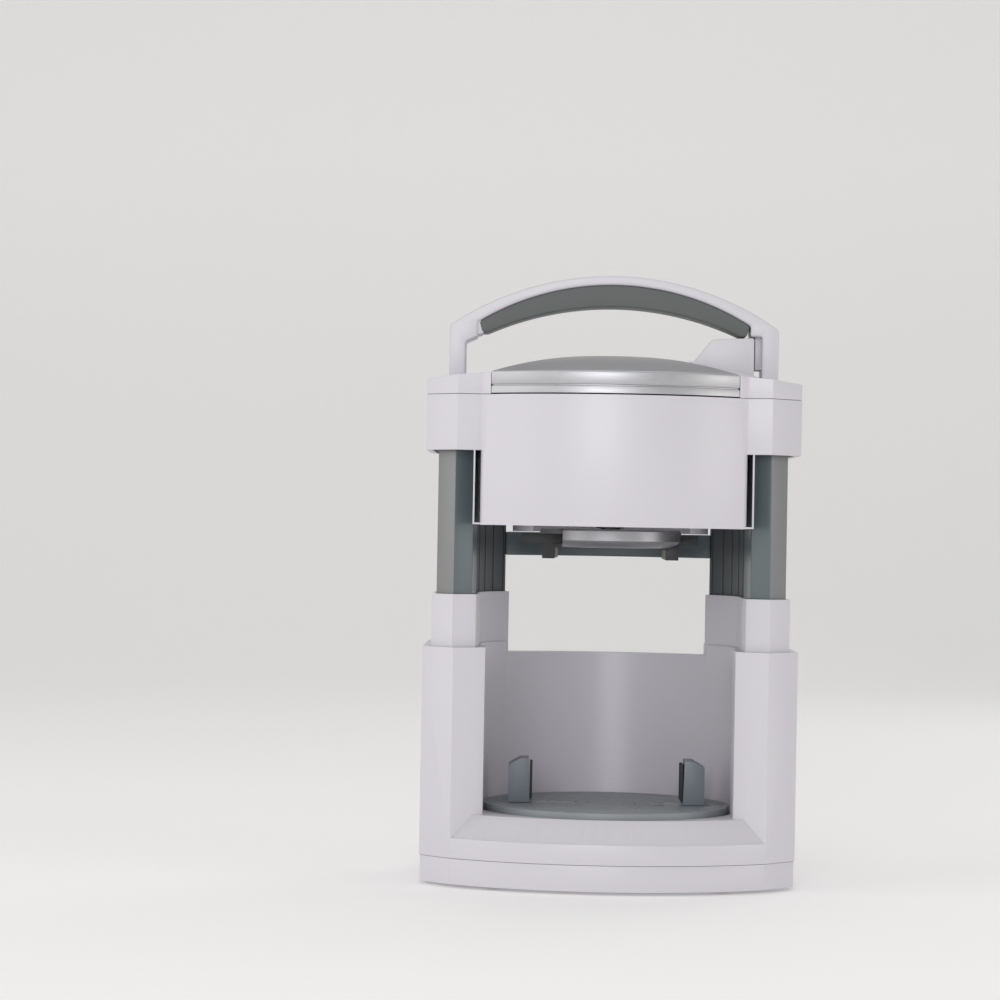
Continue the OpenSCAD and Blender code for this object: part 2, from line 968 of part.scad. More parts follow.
module control_board() {
    board_z = 22;
    color("#3f7a4c")
        in_head()
            block([14, -52, board_z], [62, -20, board_z + 1.6]);
    color(black)
        in_head()
            union() {
                block([20, -46, board_z + 1.6 - eps], [32, -30, board_z + 11]);
                block([38, -44, board_z + 1.6 - eps], [54, -28, board_z + 8]);
                for (x = [17, 59], y = [-49, -23])
                    translate([x, y, 0])
                        disc(2.5, wall, board_z + eps, hole_fn);
            }
}

// ---------- rails ----------

module rail() {
    color(rail_grey)
        difference() {
            slab(rail_low, rail_high)
                tube_plan(tube_wall + slide_gap);
            slab(rail_low - 1, rail_high - 3)
                tube_plan(2 * tube_wall + slide_gap);
            translate([shaft_x, 0, 0])
                disc(rod_neck_r + 0.6, rail_high - 4, rail_high + 1, hole_fn);
        }
}

module rail_right() rail();
module rail_left() mirror([1, 0, 0]) rail();

module rear_crossbar() {
    r_in = sleeve_in + crossbar_in;
    rail_face_x = column_rear_x - 1 + tube_wall + slide_gap;
    color(rail_grey)
        in_head()
            slab(crossbar_low, crossbar_high)
                intersection() {
                    difference() {
                        circle(r = r_in + crossbar_t, $fn = arc_fn);
                        circle(r = r_in, $fn = arc_fn);
                    }
                    translate([-rail_face_x, 30])
                        square([2 * rail_face_x, front_y]);
                }
}

// ---------- top cover, lid and handle ----------

inner_x = 45.7;
bezel_half = button_w / 2 + 3;
lid_wall = 2.2;

module cap_slope() {
    top = cap_z(0);
    translate([0, front_y + 1, 0])
        rotate([90, 0, 0])
            linear_extrude(height = 2 * front_y + 2)
                polygon([
                    [-side_x - 1, head_seam - 1], [side_x + 1, head_seam - 1],
                    [side_x + 1, cap_z(side_x + 1)], [0, top], [-side_x - 1, cap_z(side_x + 1)]
                ]);
}

module top_cover() {
    low = head_seam + seam_gap;
    color(white)
        in_head()
            difference() {
                union() {
                    intersection() {
                        difference() {
                            slab(low, cap_z(0))
                                head_plan();
                            slab(low - 1, cap_z(0) + 1)
                                translate([-lid_x - seam_gap, -front_y])
                                    square([2 * (lid_x + seam_gap), 2 * front_y]);
                        }
                        cap_slope();
                    }
                    intersection() {
                        slab(inner_plate_low - 1, inner_plate_low + inner_plate_t)
                            head_plan(lid_wall + 0.3);
                        translate([-lid_x - 1, -front_y, 0])
                            cube([2 * lid_x + 2, 2 * front_y, 200]);
                    }
                }
                slab(low - 1, inner_plate_low)
                    head_plan(lid_wall);
                disc(spindle_r + 1, low - 1, inner_plate_low + inner_plate_t + 1, hole_fn);
                block(
                    [lid_x - 1, -bezel_half - 0.2, inner_plate_low + inner_plate_t],
                    [button_out + bezel_lap + 0.2, bezel_half + 0.2, cap_z(0) + 1]
                );
            }
}

groove_z = 81.3;
dome_half = 80;
module lid_plan(d = 0) {
    intersection() {
        bulges(body_x, valley_back, d);
        square([2 * (lid_x - d), 2 * front_y], center = true);
    }
}

module lid_cover() {
    low = inner_plate_low + inner_plate_t + 0.1;
    apex = band_top + dome_h;
    dome_r = arc_r(dome_half, dome_h);
    color(silver)
        in_head()
            difference() {
                union() {
                    slab(head_seam + seam_gap + 0.5, groove_z)
                        lid_plan();
                    slab(groove_z - eps, groove_z + 0.7)
                        lid_plan(0.7);
                    slab(groove_z + 0.7 - eps, band_top)
                        lid_plan();
                    intersection() {
                        slab(band_top - eps, apex + 1)
                            lid_plan(1);
                        translate([0, 0, apex - dome_r])
                            sphere(r = dome_r, $fn = arc_fn);
                    }
                }
                slab(head_seam, low)
                    bulges(body_x, valley_back, lid_wall + 0.1);
                intersection() {
                    slab(low - eps, apex)
                        lid_plan(lid_wall + 0.1);
                    translate([0, 0, apex - lid_wall - dome_r])
                        sphere(r = dome_r, $fn = arc_fn);
                }
                block([inner_x, -bezel_half - 0.3, head_seam], [side_x, bezel_half + 0.3, apex + 1]);
            }
}

// Front view of the arched handle, as arcs about centres below the arch
shell_r = arc_r(post_x - 3, handle_top - post_top);
grip_top = handle_top - grip_cover;
grip_top_r = arc_r(grip_x, grip_top - post_top);
grip_low_r = arc_r(grip_x - 4, grip_t + 4.2);

module arch_circle(top, r) {
    translate([0, top - r])
        circle(r = r, $fn = arc_fn);
}

module grip_view(d = 0) {
    intersection() {
        difference() {
            arch_circle(grip_top - d, grip_top_r - d);
            arch_circle(grip_top - grip_t + d, grip_low_r + d);
        }
        polygon([
            [-grip_x + 2.3, button_high + 0.8], [grip_x - 2.3, button_high + 0.8],
            [grip_x, post_top + 2], [grip_x, handle_top], [-grip_x, handle_top], [-grip_x, post_top + 2]
        ]);
    }
}

// Corners mirrored to the left, still counter-clockwise
function on_left(p) = [for (i = [len(p) - 1:-1:0]) [-p[i][0], p[i][1]]];

// Web between the grip's end and the right post, with its lower edge's two heights
function gusset(low_in, low_out) = [
    [grip_x - 3.8, low_in], [post_x - post_t + 0.5, low_out],
    [post_x - post_t + 0.5, post_top - 0.5], [grip_x - 2, post_top - 0.5]
];

function post() = [
    [post_x - post_t, cap_z(post_x - post_t)], [post_x, cap_z(post_x)],
    [post_x, post_top - 3], [post_x - post_t, post_top - 3]
];

module handle_view() {
    difference() {
        union() {
            intersection() {
                arch_circle(handle_top, shell_r);
                translate([-post_x, post_top - 6])
                    square([2 * post_x, handle_top]);
            }
            polygon(on_left(gusset(post_top - 7.2, post_top - 12)));
            polygon(gusset(button_high + 0.8, button_high + 0.8));
        }
        arch_circle(grip_top - grip_t, grip_low_r);
        difference() {
            arch_circle(grip_top, grip_top_r);
            translate([grip_x, 0])
                square([50, 400]);
            translate([-grip_x - 50, 0])
                square([50, 400]);
        }
    }
    polygon(on_left(post()));
    polygon(post());
}

module front_extrude(depth) {
    translate([0, depth / 2, 0])
        rotate([90, 0, 0])
            linear_extrude(height = depth)
                children();
}

module handle_shell() {
    color(white)
        in_head()
            front_extrude(handle_d)
                handle_view();
}

module handle_grip() {
    color(dark_grey)
        in_head()
            front_extrude(handle_d - 2)
                grip_view(0.1);
}

// ---------- start button ----------

module start_button() {
    top = button_high;
    color(white)
        in_head()
            difference() {
                front_extrude(button_w)
                    polygon([
                        [button_in, button_nose], [button_in + 2, button_low], [button_out, button_low],
                        [button_out, top - 1], [button_out - 1.2, top], [button_in + 12, top - 1],
                        [button_in + 10, top - 2]
                    ]);
                front_extrude(button_w - 4)
                    polygon([
                        [button_in + 5, button_low - 1], [button_out - 2, button_low - 1],
                        [button_out - 2, top - 3], [button_in + 13, top - 3],
                        [button_in + 5, button_nose + 0.5]
                    ]);
            }
    color(white)
        in_head()
            translate([stem_x, 0, 0])
                disc(2, stem_low, top - 2.5, hole_fn);
}

module button_bezel() {
    bezel_low = inner_plate_low + inner_plate_t + 0.1;
    color(white)
        in_head()
            difference() {
                front_extrude(2 * bezel_half)
                    polygon([
                        [inner_x + 0.3, bezel_low], [button_out + bezel_lap, bezel_low],
                        [button_out + bezel_lap, cap_z(button_out) + 3],
                        [inner_x + 0.3, button_nose + 0.1]
                    ]);
                block(
                    [button_in - 0.8, -button_w / 2 - 0.6, bezel_low + 1.2],
                    [button_out + 0.7, button_w / 2 + 0.6, handle_top]
                );
            }
}

module start_switch() {
    color(black)
        in_head()
            union() {
                block([stem_x - 6, -4, switch_low], [stem_x + 7, 4, switch_low + 7]);
                translate([stem_x, 0, 0])
                    disc(1.5, switch_low + 7 - eps, switch_low + 8, hole_fn);
            }
}

module button_spring() {
    spring_low = inner_plate_low + inner_plate_t + 1.4;
    color(steel)
        in_head()
            translate([spring_x, 0, 0])
                ring(3.2, 2.4, spring_low, spring_high, hole_fn);
}

// ---------- lid clamp ----------

finger_t = 7.5;
lid_pad_t = 2;
arm_half = 7;
finger_half = 10;
module lid_drum() {
    color(silver)
        in_head()
            difference() {
                union() {
                    disc(drum_r, arm_top + 0.7, drum_top);
                    ring(drum_r, drum_r - 2.2, drum_low, arm_top + 0.7 + eps);
                }
                for (turn = [0, 180])
                    rotate(turn)
                        block([20, -pinion_r - 7, drum_low - 1], [drum_r + 1, pinion_r + 7, arm_top + 0.5]);
                disc(3.1, -9, 1, hole_fn);
            }
}

module drum_cover() {
    color(silver)
        in_head()
            difference() {
                disc(drum_r - 2.3, drum_low, arm_low - 0.6);
                for (turn = [0, 180])
                    rotate(turn)
                        block([9, -10.5, drum_low - 1], [drum_r + 1, 10.5, 0]);
            }
}

// The left lid jaw: an offset arm with its rack, and the finger under it
module lid_jaw() {
    face = lid_grip + lid_pad_t;
    color(black)
        in_head()
            union() {
                block(
                    [-face - finger_t - 12, -pinion_r - 5.5, arm_low],
                    [-face, arm_half - 1.6, arm_top]
                );
                block(
                    [-face - finger_t, -finger_half, drum_low - finger_h],
                    [-face, finger_half, arm_low - 0.6]
                );
                // Neck clear of the other jaw's rack
                block(
                    [-face - finger_t, -finger_half, arm_low - 1],
                    [-face, arm_half - 1.6, arm_low + eps]
                );
                slab(arm_low, arm_top)
                    translate([0, -pinion_r])
                        rack_plan(
                            -ceil(max(face + finger_t, lid_close + rack_pitch) / rack_pitch),
                            ceil(lid_open / rack_pitch) + 1, 3.9
                        );
            }
}

module lid_jaw_left() lid_jaw();
module lid_jaw_right() rotate(180) lid_jaw();

module lid_pad() {
    color("#d5d3cf")
        in_head()
            for (i = [0:5])
                block(
                    [-lid_grip - lid_pad_t, -9 + 3 * i, drum_low - finger_h + 0.5],
                    [-lid_grip, -6.6 + 3 * i, drum_low - 0.3]
                );
    color("#d5d3cf")
        in_head()
            block(
                [-lid_grip - lid_pad_t, -9.2, drum_low - finger_h + 0.5],
                [-lid_grip - 1, 9.2, drum_low - 0.3]
            );
}

module lid_pad_left() lid_pad();
module lid_pad_right() rotate(180) lid_pad();

module lid_pinion() {
    color(gear_white)
        in_head()
            union() {
                gear(small_n, arm_low + 0.1, axle_r, 0, arm_top - arm_low - 0.2);
                disc(axle_r, arm_low + 0.1, arm_top, hole_fn);
                disc(2.9, arm_top - 0.2, 12, hole_fn);
            }
}

base_pan();
base_shell();
feet();
base_screws();
sleeve_left();
sleeve_right();
turntable();
turntable_plate();
turntable_gear();
turntable_bush();
jar_jaw_left();
jar_jaw_right();
jar_pad_left();
jar_pad_right();
jar_pinion();
drive_tube();
tube_gear();
base_idler_inner();
base_idler_outer();
head_shell();
gear_plate();
plate_screws();
top_cover();
lid_cover();
rail_left();
rail_right();
rear_crossbar();
handle_shell();
handle_grip();
start_button();
button_bezel();
button_spring();
start_switch();
motor();
motor_pinion();
spindle();
spindle_gear();
spindle_bush_low();
spindle_bush_top();
head_idler();
rod_gear();
drive_rod();
control_board();
cord_bush();
lid_drum();
drum_cover();
lid_jaw_left();
lid_jaw_right();
lid_pad_left();
lid_pad_right();
lid_pinion();
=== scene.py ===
"""Dresses a countertop electric jar opener: rounded shells, lid, handle, clamp, ribs, studs and finishes."""

import json
import math

import bmesh
import bpy
from bpy.props import FloatProperty, FloatVectorProperty, IntProperty, PointerProperty
from mathutils import Matrix, Vector


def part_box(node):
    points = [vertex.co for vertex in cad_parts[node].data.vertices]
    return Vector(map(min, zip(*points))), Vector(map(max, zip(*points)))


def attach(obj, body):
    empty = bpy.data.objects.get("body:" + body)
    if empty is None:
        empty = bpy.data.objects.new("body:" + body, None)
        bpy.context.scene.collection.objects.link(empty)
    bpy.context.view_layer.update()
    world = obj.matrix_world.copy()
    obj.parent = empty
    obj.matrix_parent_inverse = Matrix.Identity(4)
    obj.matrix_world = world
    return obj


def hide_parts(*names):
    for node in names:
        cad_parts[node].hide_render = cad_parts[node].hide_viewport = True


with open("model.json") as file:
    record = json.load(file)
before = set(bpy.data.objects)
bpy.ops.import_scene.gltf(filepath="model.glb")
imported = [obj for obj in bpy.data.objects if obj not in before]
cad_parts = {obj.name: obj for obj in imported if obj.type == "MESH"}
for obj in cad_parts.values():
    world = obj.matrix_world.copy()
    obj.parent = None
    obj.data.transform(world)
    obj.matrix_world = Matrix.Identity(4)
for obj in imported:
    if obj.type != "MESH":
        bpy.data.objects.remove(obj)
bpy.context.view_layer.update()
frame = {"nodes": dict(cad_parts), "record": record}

bl_info = {
    "name": "Jar opener",
    "version": (1, 0, 0),
    "blender": (4, 5, 0),
    "location": "3D View > Sidebar > Jar opener",
    "description": "Builds the shells, lid, handle and finishes of an electric jar opener",
    "category": "Object",
}

MM = 0.001
NODES = frame["nodes"]

# Sizes that the whole opener shares, read from the frame. The collar hangs below the head's underside.
COLLAR_DROP = 3.5 * MM
HEAD_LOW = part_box("head_shell")[0].z + COLLAR_DROP
LID_LOW, LID_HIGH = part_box("lid_cover")


# ---------- settings ----------


class OpenerFinish(bpy.types.PropertyGroup):
    """Colours of the opener's plastics, metal and rubber"""

    housing: FloatVectorProperty(
        name="Housing", description="Moulded white covers", subtype="COLOR",
        size=3, min=0, max=1, default=(0.62, 0.60, 0.64),
    )
    rails: FloatVectorProperty(
        name="Rails", description="Blue-grey sliding rails", subtype="COLOR",
        size=3, min=0, max=1, default=(0.085, 0.112, 0.12),
    )
    grip: FloatVectorProperty(
        name="Grip", description="Soft grip under the handle", subtype="COLOR",
        size=3, min=0, max=1, default=(0.105, 0.115, 0.112),
    )
    table: FloatVectorProperty(
        name="Turntable", description="Turntable", subtype="COLOR",
        size=3, min=0, max=1, default=(0.26, 0.28, 0.295),
    )
    jaws: FloatVectorProperty(
        name="Jar jaws", description="Upright jaws on the turntable", subtype="COLOR",
        size=3, min=0, max=1, default=(0.15, 0.175, 0.20),
    )
    silver: FloatVectorProperty(
        name="Silver", description="Brushed silver lid and clamp", subtype="COLOR",
        size=3, min=0, max=1, default=(0.44, 0.44, 0.455),
    )


class OpenerShape(bpy.types.PropertyGroup):
    """Roundings, ribs and other small shapes"""

    edge: FloatProperty(
        name="Edge rounding", description="Radius of the covers' edges", unit="LENGTH",
        min=0.0002, max=0.003, default=0.0011,
    )
    facet: FloatProperty(
        name="Facet rounding", description="Radius of the towers' upright edges", unit="LENGTH",
        min=0.0005, max=0.006, default=0.0026,
    )
    dome: FloatProperty(
        name="Dome height", description="Rise of the silver lid above its band", unit="LENGTH",
        min=0.005, max=0.02, default=0.0129,
    )
    table_studs: IntProperty(
        name="Turntable studs", description="Grip studs in each ring of the turntable",
        min=8, max=72, default=36,
    )
    rail_ribs: IntProperty(
        name="Rail ribs", description="Upright ribs inside each rail", min=3, max=16, default=7,
    )


def finish():
    return bpy.context.scene.opener_finish


def shape():
    return bpy.context.scene.opener_shape


# ---------- meshes ----------

# A CAD node's points closer than MERGE are one, and its faces within FLAT_ANGLE are one face
MERGE = 0.002 * MM
FLAT_ANGLE = 0.4
# Degrees between two faces past which an edge is rounded, and past which shading breaks there
EDGE_ANGLE = 20
TRIM_EDGE_ANGLE = 30
LID_CREASE = 30
CREASE_ANGLE = 35
ROUNDED_CREASE = 40
# An edge counts as upright when its direction's share along Z is over this
UPRIGHT = 0.9


def mm(*values):
    """Millimetres as metres."""
    return tuple(value * MM for value in values)


def new_piece(name, bm, material, smooth_angle=CREASE_ANGLE):
    """Turns a bmesh into an object at the origin with one material."""
    mesh = bpy.data.meshes.new(name)
    bm.to_mesh(mesh)
    bm.free()
    mesh.materials.append(material)
    for face in mesh.polygons:
        face.use_smooth = True
    mesh.set_sharp_from_angle(angle=math.radians(smooth_angle))
    piece = bpy.data.objects.new(name, mesh)
    bpy.context.scene.collection.objects.link(piece)
    return piece


def apply_modifiers(piece):
    """Bakes a piece's modifiers into a plain mesh."""
    bpy.context.view_layer.update()
    graph = bpy.context.evaluated_depsgraph_get()
    mesh = bpy.data.meshes.new_from_object(piece.evaluated_get(graph))
    old = piece.data
    piece.modifiers.clear()
    piece.data = mesh
    bpy.data.meshes.remove(old)
    return piece


def node_bmesh(node):
    """A CAD node's solids as a merged mesh with its flat faces joined."""
    bm = bmesh.new()
    bm.from_mesh(NODES[node].data)
    bmesh.ops.remove_doubles(bm, verts=bm.verts, dist=MERGE)
    bmesh.ops.dissolve_limit(
        bm, angle_limit=math.radians(FLAT_ANGLE), verts=bm.verts, edges=bm.edges,
    )
    return bm


def rounded(node, material, body, width, facet=None, segments=3):
    """Stands for a CAD node with its edges rounded; upright edges may take their own width."""
    bm = node_bmesh(node)
    facet = facet or width
    most = max(width, facet)
    weight = bm.edges.layers.float.new("bevel_weight_edge")
    for edge in bm.edges:
        if len(edge.link_faces) != 2:
            continue
        if edge.calc_face_angle(0) < math.radians(EDGE_ANGLE):
            continue
        way = (edge.verts[1].co - edge.verts[0].co).normalized()
        edge[weight] = (facet if abs(way.z) > UPRIGHT else width) / most
    piece = new_piece(node + "_cover", bm, material)
    bevel = piece.modifiers.new("rounding", "BEVEL")
    bevel.width = most
    bevel.segments = segments
    bevel.limit_method = "WEIGHT"
    bevel.use_clamp_overlap = True
    bevel.miter_outer = "MITER_ARC"
    bevel.harden_normals = False
    apply_modifiers(piece)
    piece.data.set_sharp_from_angle(angle=math.radians(ROUNDED_CREASE))
    place(piece, body, node)
    return piece


def place(piece, body, *nodes, slot=None):
    """Hangs a finished piece on its body, in the place of CAD nodes."""
    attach(piece, body)
    if nodes:
        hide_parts(*nodes)
        slot = slot or slot_of(nodes[0])


def slot_of(node):
    for part in frame["record"]["subparts"]:
        if part["node"] == node:
            return part["material_slot"]
    raise ValueError("no slot for " + node)


def dress(node, material):
    """Gives a carried-over CAD node its material."""
    mesh = NODES[node].data
    mesh.materials.clear()
    mesh.materials.append(material)


def sweep(loops, caps=True):
    """A bmesh skin through closed loops of points that all have the same count."""
    bm = bmesh.new()
    rows = [[bm.verts.new(p) for p in loop] for loop in loops]
    for a, b in zip(rows, rows[1:]):
        for i in range(len(a)):
            j = (i + 1) % len(a)
            bm.faces.new((a[i], a[j], b[j], b[i]))
    if caps:
        bm.faces.new(list(reversed(rows[0])))
        bm.faces.new(rows[-1])
    bmesh.ops.recalc_face_normals(bm, faces=bm.faces)
    return bm


def block_bmesh(*blocks):
    """A bmesh of separate blocks, each given by its lowest and highest corners."""
    bm = bmesh.new()
    for low, high in blocks:
        size = Vector(high) - Vector(low)
        middle = (Vector(high) + Vector(low)) / 2
        bmesh.ops.create_cube(
            bm, size=1, matrix=Matrix.Translation(middle) @ Matrix.Diagonal((*size, 1)),
        )
    return bm


def cut(piece, *blocks):
    """Cuts blocks out of a piece."""
    for block in blocks:
        mesh = bpy.data.meshes.new("cutter")
        bm = block_bmesh(block)
        bm.to_mesh(mesh)
        bm.free()
        cutter = bpy.data.objects.new("cutter", mesh)
        bpy.context.scene.collection.objects.link(cutter)
        opening = piece.modifiers.new("opening", "BOOLEAN")
        opening.object = cutter
        opening.operation = "DIFFERENCE"
        opening.solver = "EXACT"
        apply_modifiers(piece)
        bpy.data.objects.remove(cutter)
        bpy.data.meshes.remove(mesh)
    piece.data.set_sharp_from_angle(angle=math.radians(CREASE_ANGLE))
    return piece


def bevelled(piece, width, segments=2):
    """Rounds all the sharp edges of a piece."""
    bevel = piece.modifiers.new("rounding", "BEVEL")
    bevel.width = width
    bevel.segments = segments
    bevel.limit_method = "ANGLE"
    bevel.angle_limit = math.radians(TRIM_EDGE_ANGLE)
    apply_modifiers(piece)
    piece.data.set_sharp_from_angle(angle=math.radians(ROUNDED_CREASE))
    return piece


# ---------- shader groups and materials ----------


def node_group(name, inputs, outputs):
    """A shader group and its ends; inputs are (name, kind, default) and outputs (name, kind)."""
    group = bpy.data.node_groups.new(name, "ShaderNodeTree")
    for label, kind, default in inputs:
        socket = group.interface.new_socket(label, in_out="INPUT", socket_type=kind)
        socket.default_value = default
    for label, kind in outputs:
        group.interface.new_socket(label, in_out="OUTPUT", socket_type=kind)
    return group, group.nodes.new("NodeGroupInput"), group.nodes.new("NodeGroupOutput")


def math_node(tree, operation, a, b):
    node = tree.nodes.new("ShaderNodeMath")
    node.operation = operation
    for socket, value in zip(node.inputs, (a, b)):
        if isinstance(value, (int, float)):
            socket.default_value = value
        else:
            tree.links.new(value, socket)
    return node.outputs[0]


def noise_node(tree, vector, scale, detail, roughness=0.5):
    node = tree.nodes.new("ShaderNodeTexNoise")
    node.inputs["Detail"].default_value = detail
    node.inputs["Roughness"].default_value = roughness
    if isinstance(scale, (int, float)):
        node.inputs["Scale"].default_value = scale
    else:
        tree.links.new(scale, node.inputs["Scale"])
    tree.links.new(vector, node.inputs["Vector"])
    return node.outputs["Fac"]


EFFECT_OUTPUTS = [
    ("Color", "NodeSocketColor"), ("Roughness", "NodeSocketFloat"), ("Height", "NodeSocketFloat"),
]


def tinted(group, given, out, value):
    """Sends the given colour out with its value multiplied."""
    tint = group.nodes.new("ShaderNodeHueSaturation")
    group.links.new(value, tint.inputs["Value"])
    group.links.new(given.outputs["Color"], tint.inputs["Color"])
    group.links.new(tint.outputs["Color"], out.inputs["Color"])


def swing(group, noise, strength):
    """Noise about its middle, times a strength."""
    return math_node(group, "MULTIPLY", math_node(group, "SUBTRACT", noise, 0.5), strength)


def mould_group():
    """Moulded plastic: slight colour drift, soft sheen patches and a fine grain."""
    group, given, out = node_group(
        "Moulded surface",
        [
            ("Color", "NodeSocketColor", (0.8, 0.8, 0.8, 1)),
            ("Drift", "NodeSocketFloat", 0.03),
            ("Roughness", "NodeSocketFloat", 0.4),
            ("Grain Scale", "NodeSocketFloat", 2500.0),
            ("Grain Height", "NodeSocketFloat", 1.0),
        ],
        EFFECT_OUTPUTS,
    )
    coords = group.nodes.new("ShaderNodeTexCoord").outputs["Object"]
    broad = noise_node(group, coords, scale=14.0, detail=2.0)
    fine = noise_node(group, coords, scale=given.outputs["Grain Scale"], detail=2.0)
    speck = noise_node(group, coords, scale=420.0, detail=4.0, roughness=0.65)
    drift = math_node(group, "ADD", swing(group, broad, given.outputs["Drift"]), 1.0)
    tinted(group, given, out, math_node(group, "ADD", drift, swing(group, speck, 0.02)))
    rough = math_node(group, "ADD", given.outputs["Roughness"], swing(group, speck, 0.05))
    group.links.new(rough, out.inputs["Roughness"])
    group.links.new(math_node(group, "MULTIPLY", fine, given.outputs["Grain Height"]), out.inputs["Height"])
    return group


def brushed_group():
    """Brushed or turned metal: long fine streaks along one way."""
    group, given, out = node_group(
        "Brushed surface",
        [
            ("Color", "NodeSocketColor", (0.6, 0.6, 0.6, 1)),
            ("Roughness", "NodeSocketFloat", 0.3),
            ("Streaks", "NodeSocketVector", (8.0, 900.0, 900.0)),
            ("Strength", "NodeSocketFloat", 0.12),
        ],
        EFFECT_OUTPUTS,
    )
    coords = group.nodes.new("ShaderNodeTexCoord").outputs["Object"]
    stretch = group.nodes.new("ShaderNodeVectorMath")
    stretch.operation = "MULTIPLY"
    group.links.new(coords, stretch.inputs[0])
    group.links.new(given.outputs["Streaks"], stretch.inputs[1])
    streaks = noise_node(group, stretch.outputs[0], scale=1.0, detail=4.0, roughness=0.6)
    broad = noise_node(group, coords, scale=18.0, detail=2.0)
    shade = math_node(group, "ADD", swing(group, streaks, given.outputs["Strength"]), 1.0)
    tinted(group, given, out, math_node(group, "ADD", shade, swing(group, broad, 0.05)))
    rough = math_node(group, "ADD", given.outputs["Roughness"], swing(group, streaks, 0.25))
    group.links.new(rough, out.inputs["Roughness"])
    group.links.new(streaks, out.inputs["Height"])
    return group


def shared_group(name):
    """One of the effects, built the first time that it is asked for."""
    if name not in bpy.data.node_groups:
        {"Moulded surface": mould_group, "Brushed surface": brushed_group}[name]()
    return bpy.data.node_groups[name]


def surface(name, effect, color, settings, shader, bump, reach=0.0002):
    """A material: a shared effect feeding one Principled shader."""
    if name in bpy.data.materials:
        return bpy.data.materials[name]
    material = bpy.data.materials.new(name)
    material.use_nodes = True
    material.diffuse_color = (*color, 1)
    tree = material.node_tree
    principled = tree.nodes["Principled BSDF"]
    group = tree.nodes.new("ShaderNodeGroup")
    group.node_tree = shared_group(effect)
    group.inputs["Color"].default_value = (*color, 1)
    for label, value in settings.items():
        group.inputs[label].default_value = value
    for label, value in shader.items():
        principled.inputs[label].default_value = value
    tree.links.new(group.outputs["Color"], principled.inputs["Base Color"])
    tree.links.new(group.outputs["Roughness"], principled.inputs["Roughness"])
    relief = tree.nodes.new("ShaderNodeBump")
    relief.inputs["Strength"].default_value = bump
    relief.inputs["Distance"].default_value = reach
    tree.links.new(group.outputs["Height"], relief.inputs["Height"])
    tree.links.new(relief.outputs["Normal"], principled.inputs["Normal"])
    return material


def housing_material():
    return surface(
        "White moulding", "Moulded surface", finish().housing,
        {"Drift": 0.025, "Roughness": 0.36, "Grain Scale": 1800.0},
        {"Coat Weight": 0.08, "Coat Roughness": 0.25}, bump=0.10,
    )


def rail_material():
    return surface(
        "Blue-grey rail", "Moulded surface", finish().rails,
        {"Drift": 0.06, "Roughness": 0.33, "Grain Scale": 700.0},
        {"Specular IOR Level": 0.8}, bump=0.01,
    )


# Painted light: a paler copy of the rail's colour for the rails' outer sides
def rail_side_painted_light_material():
    return surface(
        "Rail side painted light", "Moulded surface", (0.185, 0.19, 0.19),
        {"Drift": 0.05, "Roughness": 0.33, "Grain Scale": 700.0},
        {"Specular IOR Level": 0.8}, bump=0.01,
    )


# Painted shade: a darker colour for the rails' inner channels and their ribs
def channel_shade_material():
    return surface(
        "Rail channel painted shade", "Moulded surface", (0.045, 0.055, 0.060),
        {"Drift": 0.06, "Roughness": 0.45, "Grain Scale": 1500.0}, {}, bump=0.05,
    )


def grip_material():
    return surface(
        "Soft grip", "Moulded surface", finish().grip,
        {"Drift": 0.08, "Roughness": 0.62, "Grain Scale": 1100.0},
        {"Sheen Weight": 0.15, "Sheen Roughness": 0.5}, bump=0.35,
    )


def table_material():
    return surface(
        "Turntable plastic", "Moulded surface", finish().table,
        {"Drift": 0.07, "Roughness": 0.42, "Grain Scale": 1300.0}, {}, bump=0.2,
    )


def jaw_material():
    return surface(
        "Blue-grey jaw", "Moulded surface", finish().jaws,
        {"Drift": 0.07, "Roughness": 0.4, "Grain Scale": 1200.0}, {}, bump=0.15,
    )


def black_material():
    return surface(
        "Black jaw", "Moulded surface", (0.02, 0.021, 0.023),
        {"Drift": 0.1, "Roughness": 0.4, "Grain Scale": 1500.0}, {}, bump=0.2,
    )


def rubber_material():
    return surface(
        "Black rubber", "Moulded surface", (0.028, 0.028, 0.030),
        {"Drift": 0.12, "Roughness": 0.72, "Grain Scale": 1000.0}, {}, bump=0.4,
    )


def pad_material():
    return surface(
        "Pad rubber", "Moulded surface", (0.20, 0.20, 0.19),
        {"Drift": 0.08, "Roughness": 0.6, "Grain Scale": 1000.0}, {}, bump=0.35,
    )


def acetal_material():
    return surface(
        "Natural acetal", "Moulded surface", (0.66, 0.63, 0.54),
        {"Drift": 0.05, "Roughness": 0.35, "Grain Scale": 900.0}, {}, bump=0.1,
    )


def board_material():
    return surface(
        "Circuit board", "Moulded surface", (0.03, 0.13, 0.06),
        {"Drift": 0.2, "Roughness": 0.3, "Grain Scale": 700.0}, {}, bump=0.3,
    )


def silver_material():
    return surface(
        "Brushed silver", "Brushed surface", finish().silver,
        {"Roughness": 0.42, "Streaks": (6.0, 900.0, 900.0), "Strength": 0.16},
        {"Metallic": 0.85}, bump=0.05, reach=0.0001,
    )


def steel_material():
    return surface(
        "Bright steel", "Brushed surface", (0.55, 0.56, 0.57),
        {"Roughness": 0.3, "Streaks": (60.0, 60.0, 900.0), "Strength": 0.15},
        {"Metallic": 1.0}, bump=0.05, reach=0.0001,
    )


# ---------- geometry node groups ----------


def geometry_group(name, inputs):
    """A geometry group; inputs are (name, kind, default). Returns the group and its ends."""
    group = bpy.data.node_groups.new(name, "GeometryNodeTree")
    group.interface.new_socket("Geometry", in_out="INPUT", socket_type="NodeSocketGeometry")
    for label, kind, default in inputs:
        socket = group.interface.new_socket(label, in_out="INPUT", socket_type=kind)
        if default is not None:
            socket.default_value = default
    group.interface.new_socket("Geometry", in_out="OUTPUT", socket_type="NodeSocketGeometry")
    return group, group.nodes.new("NodeGroupInput"), group.nodes.new("NodeGroupOutput")


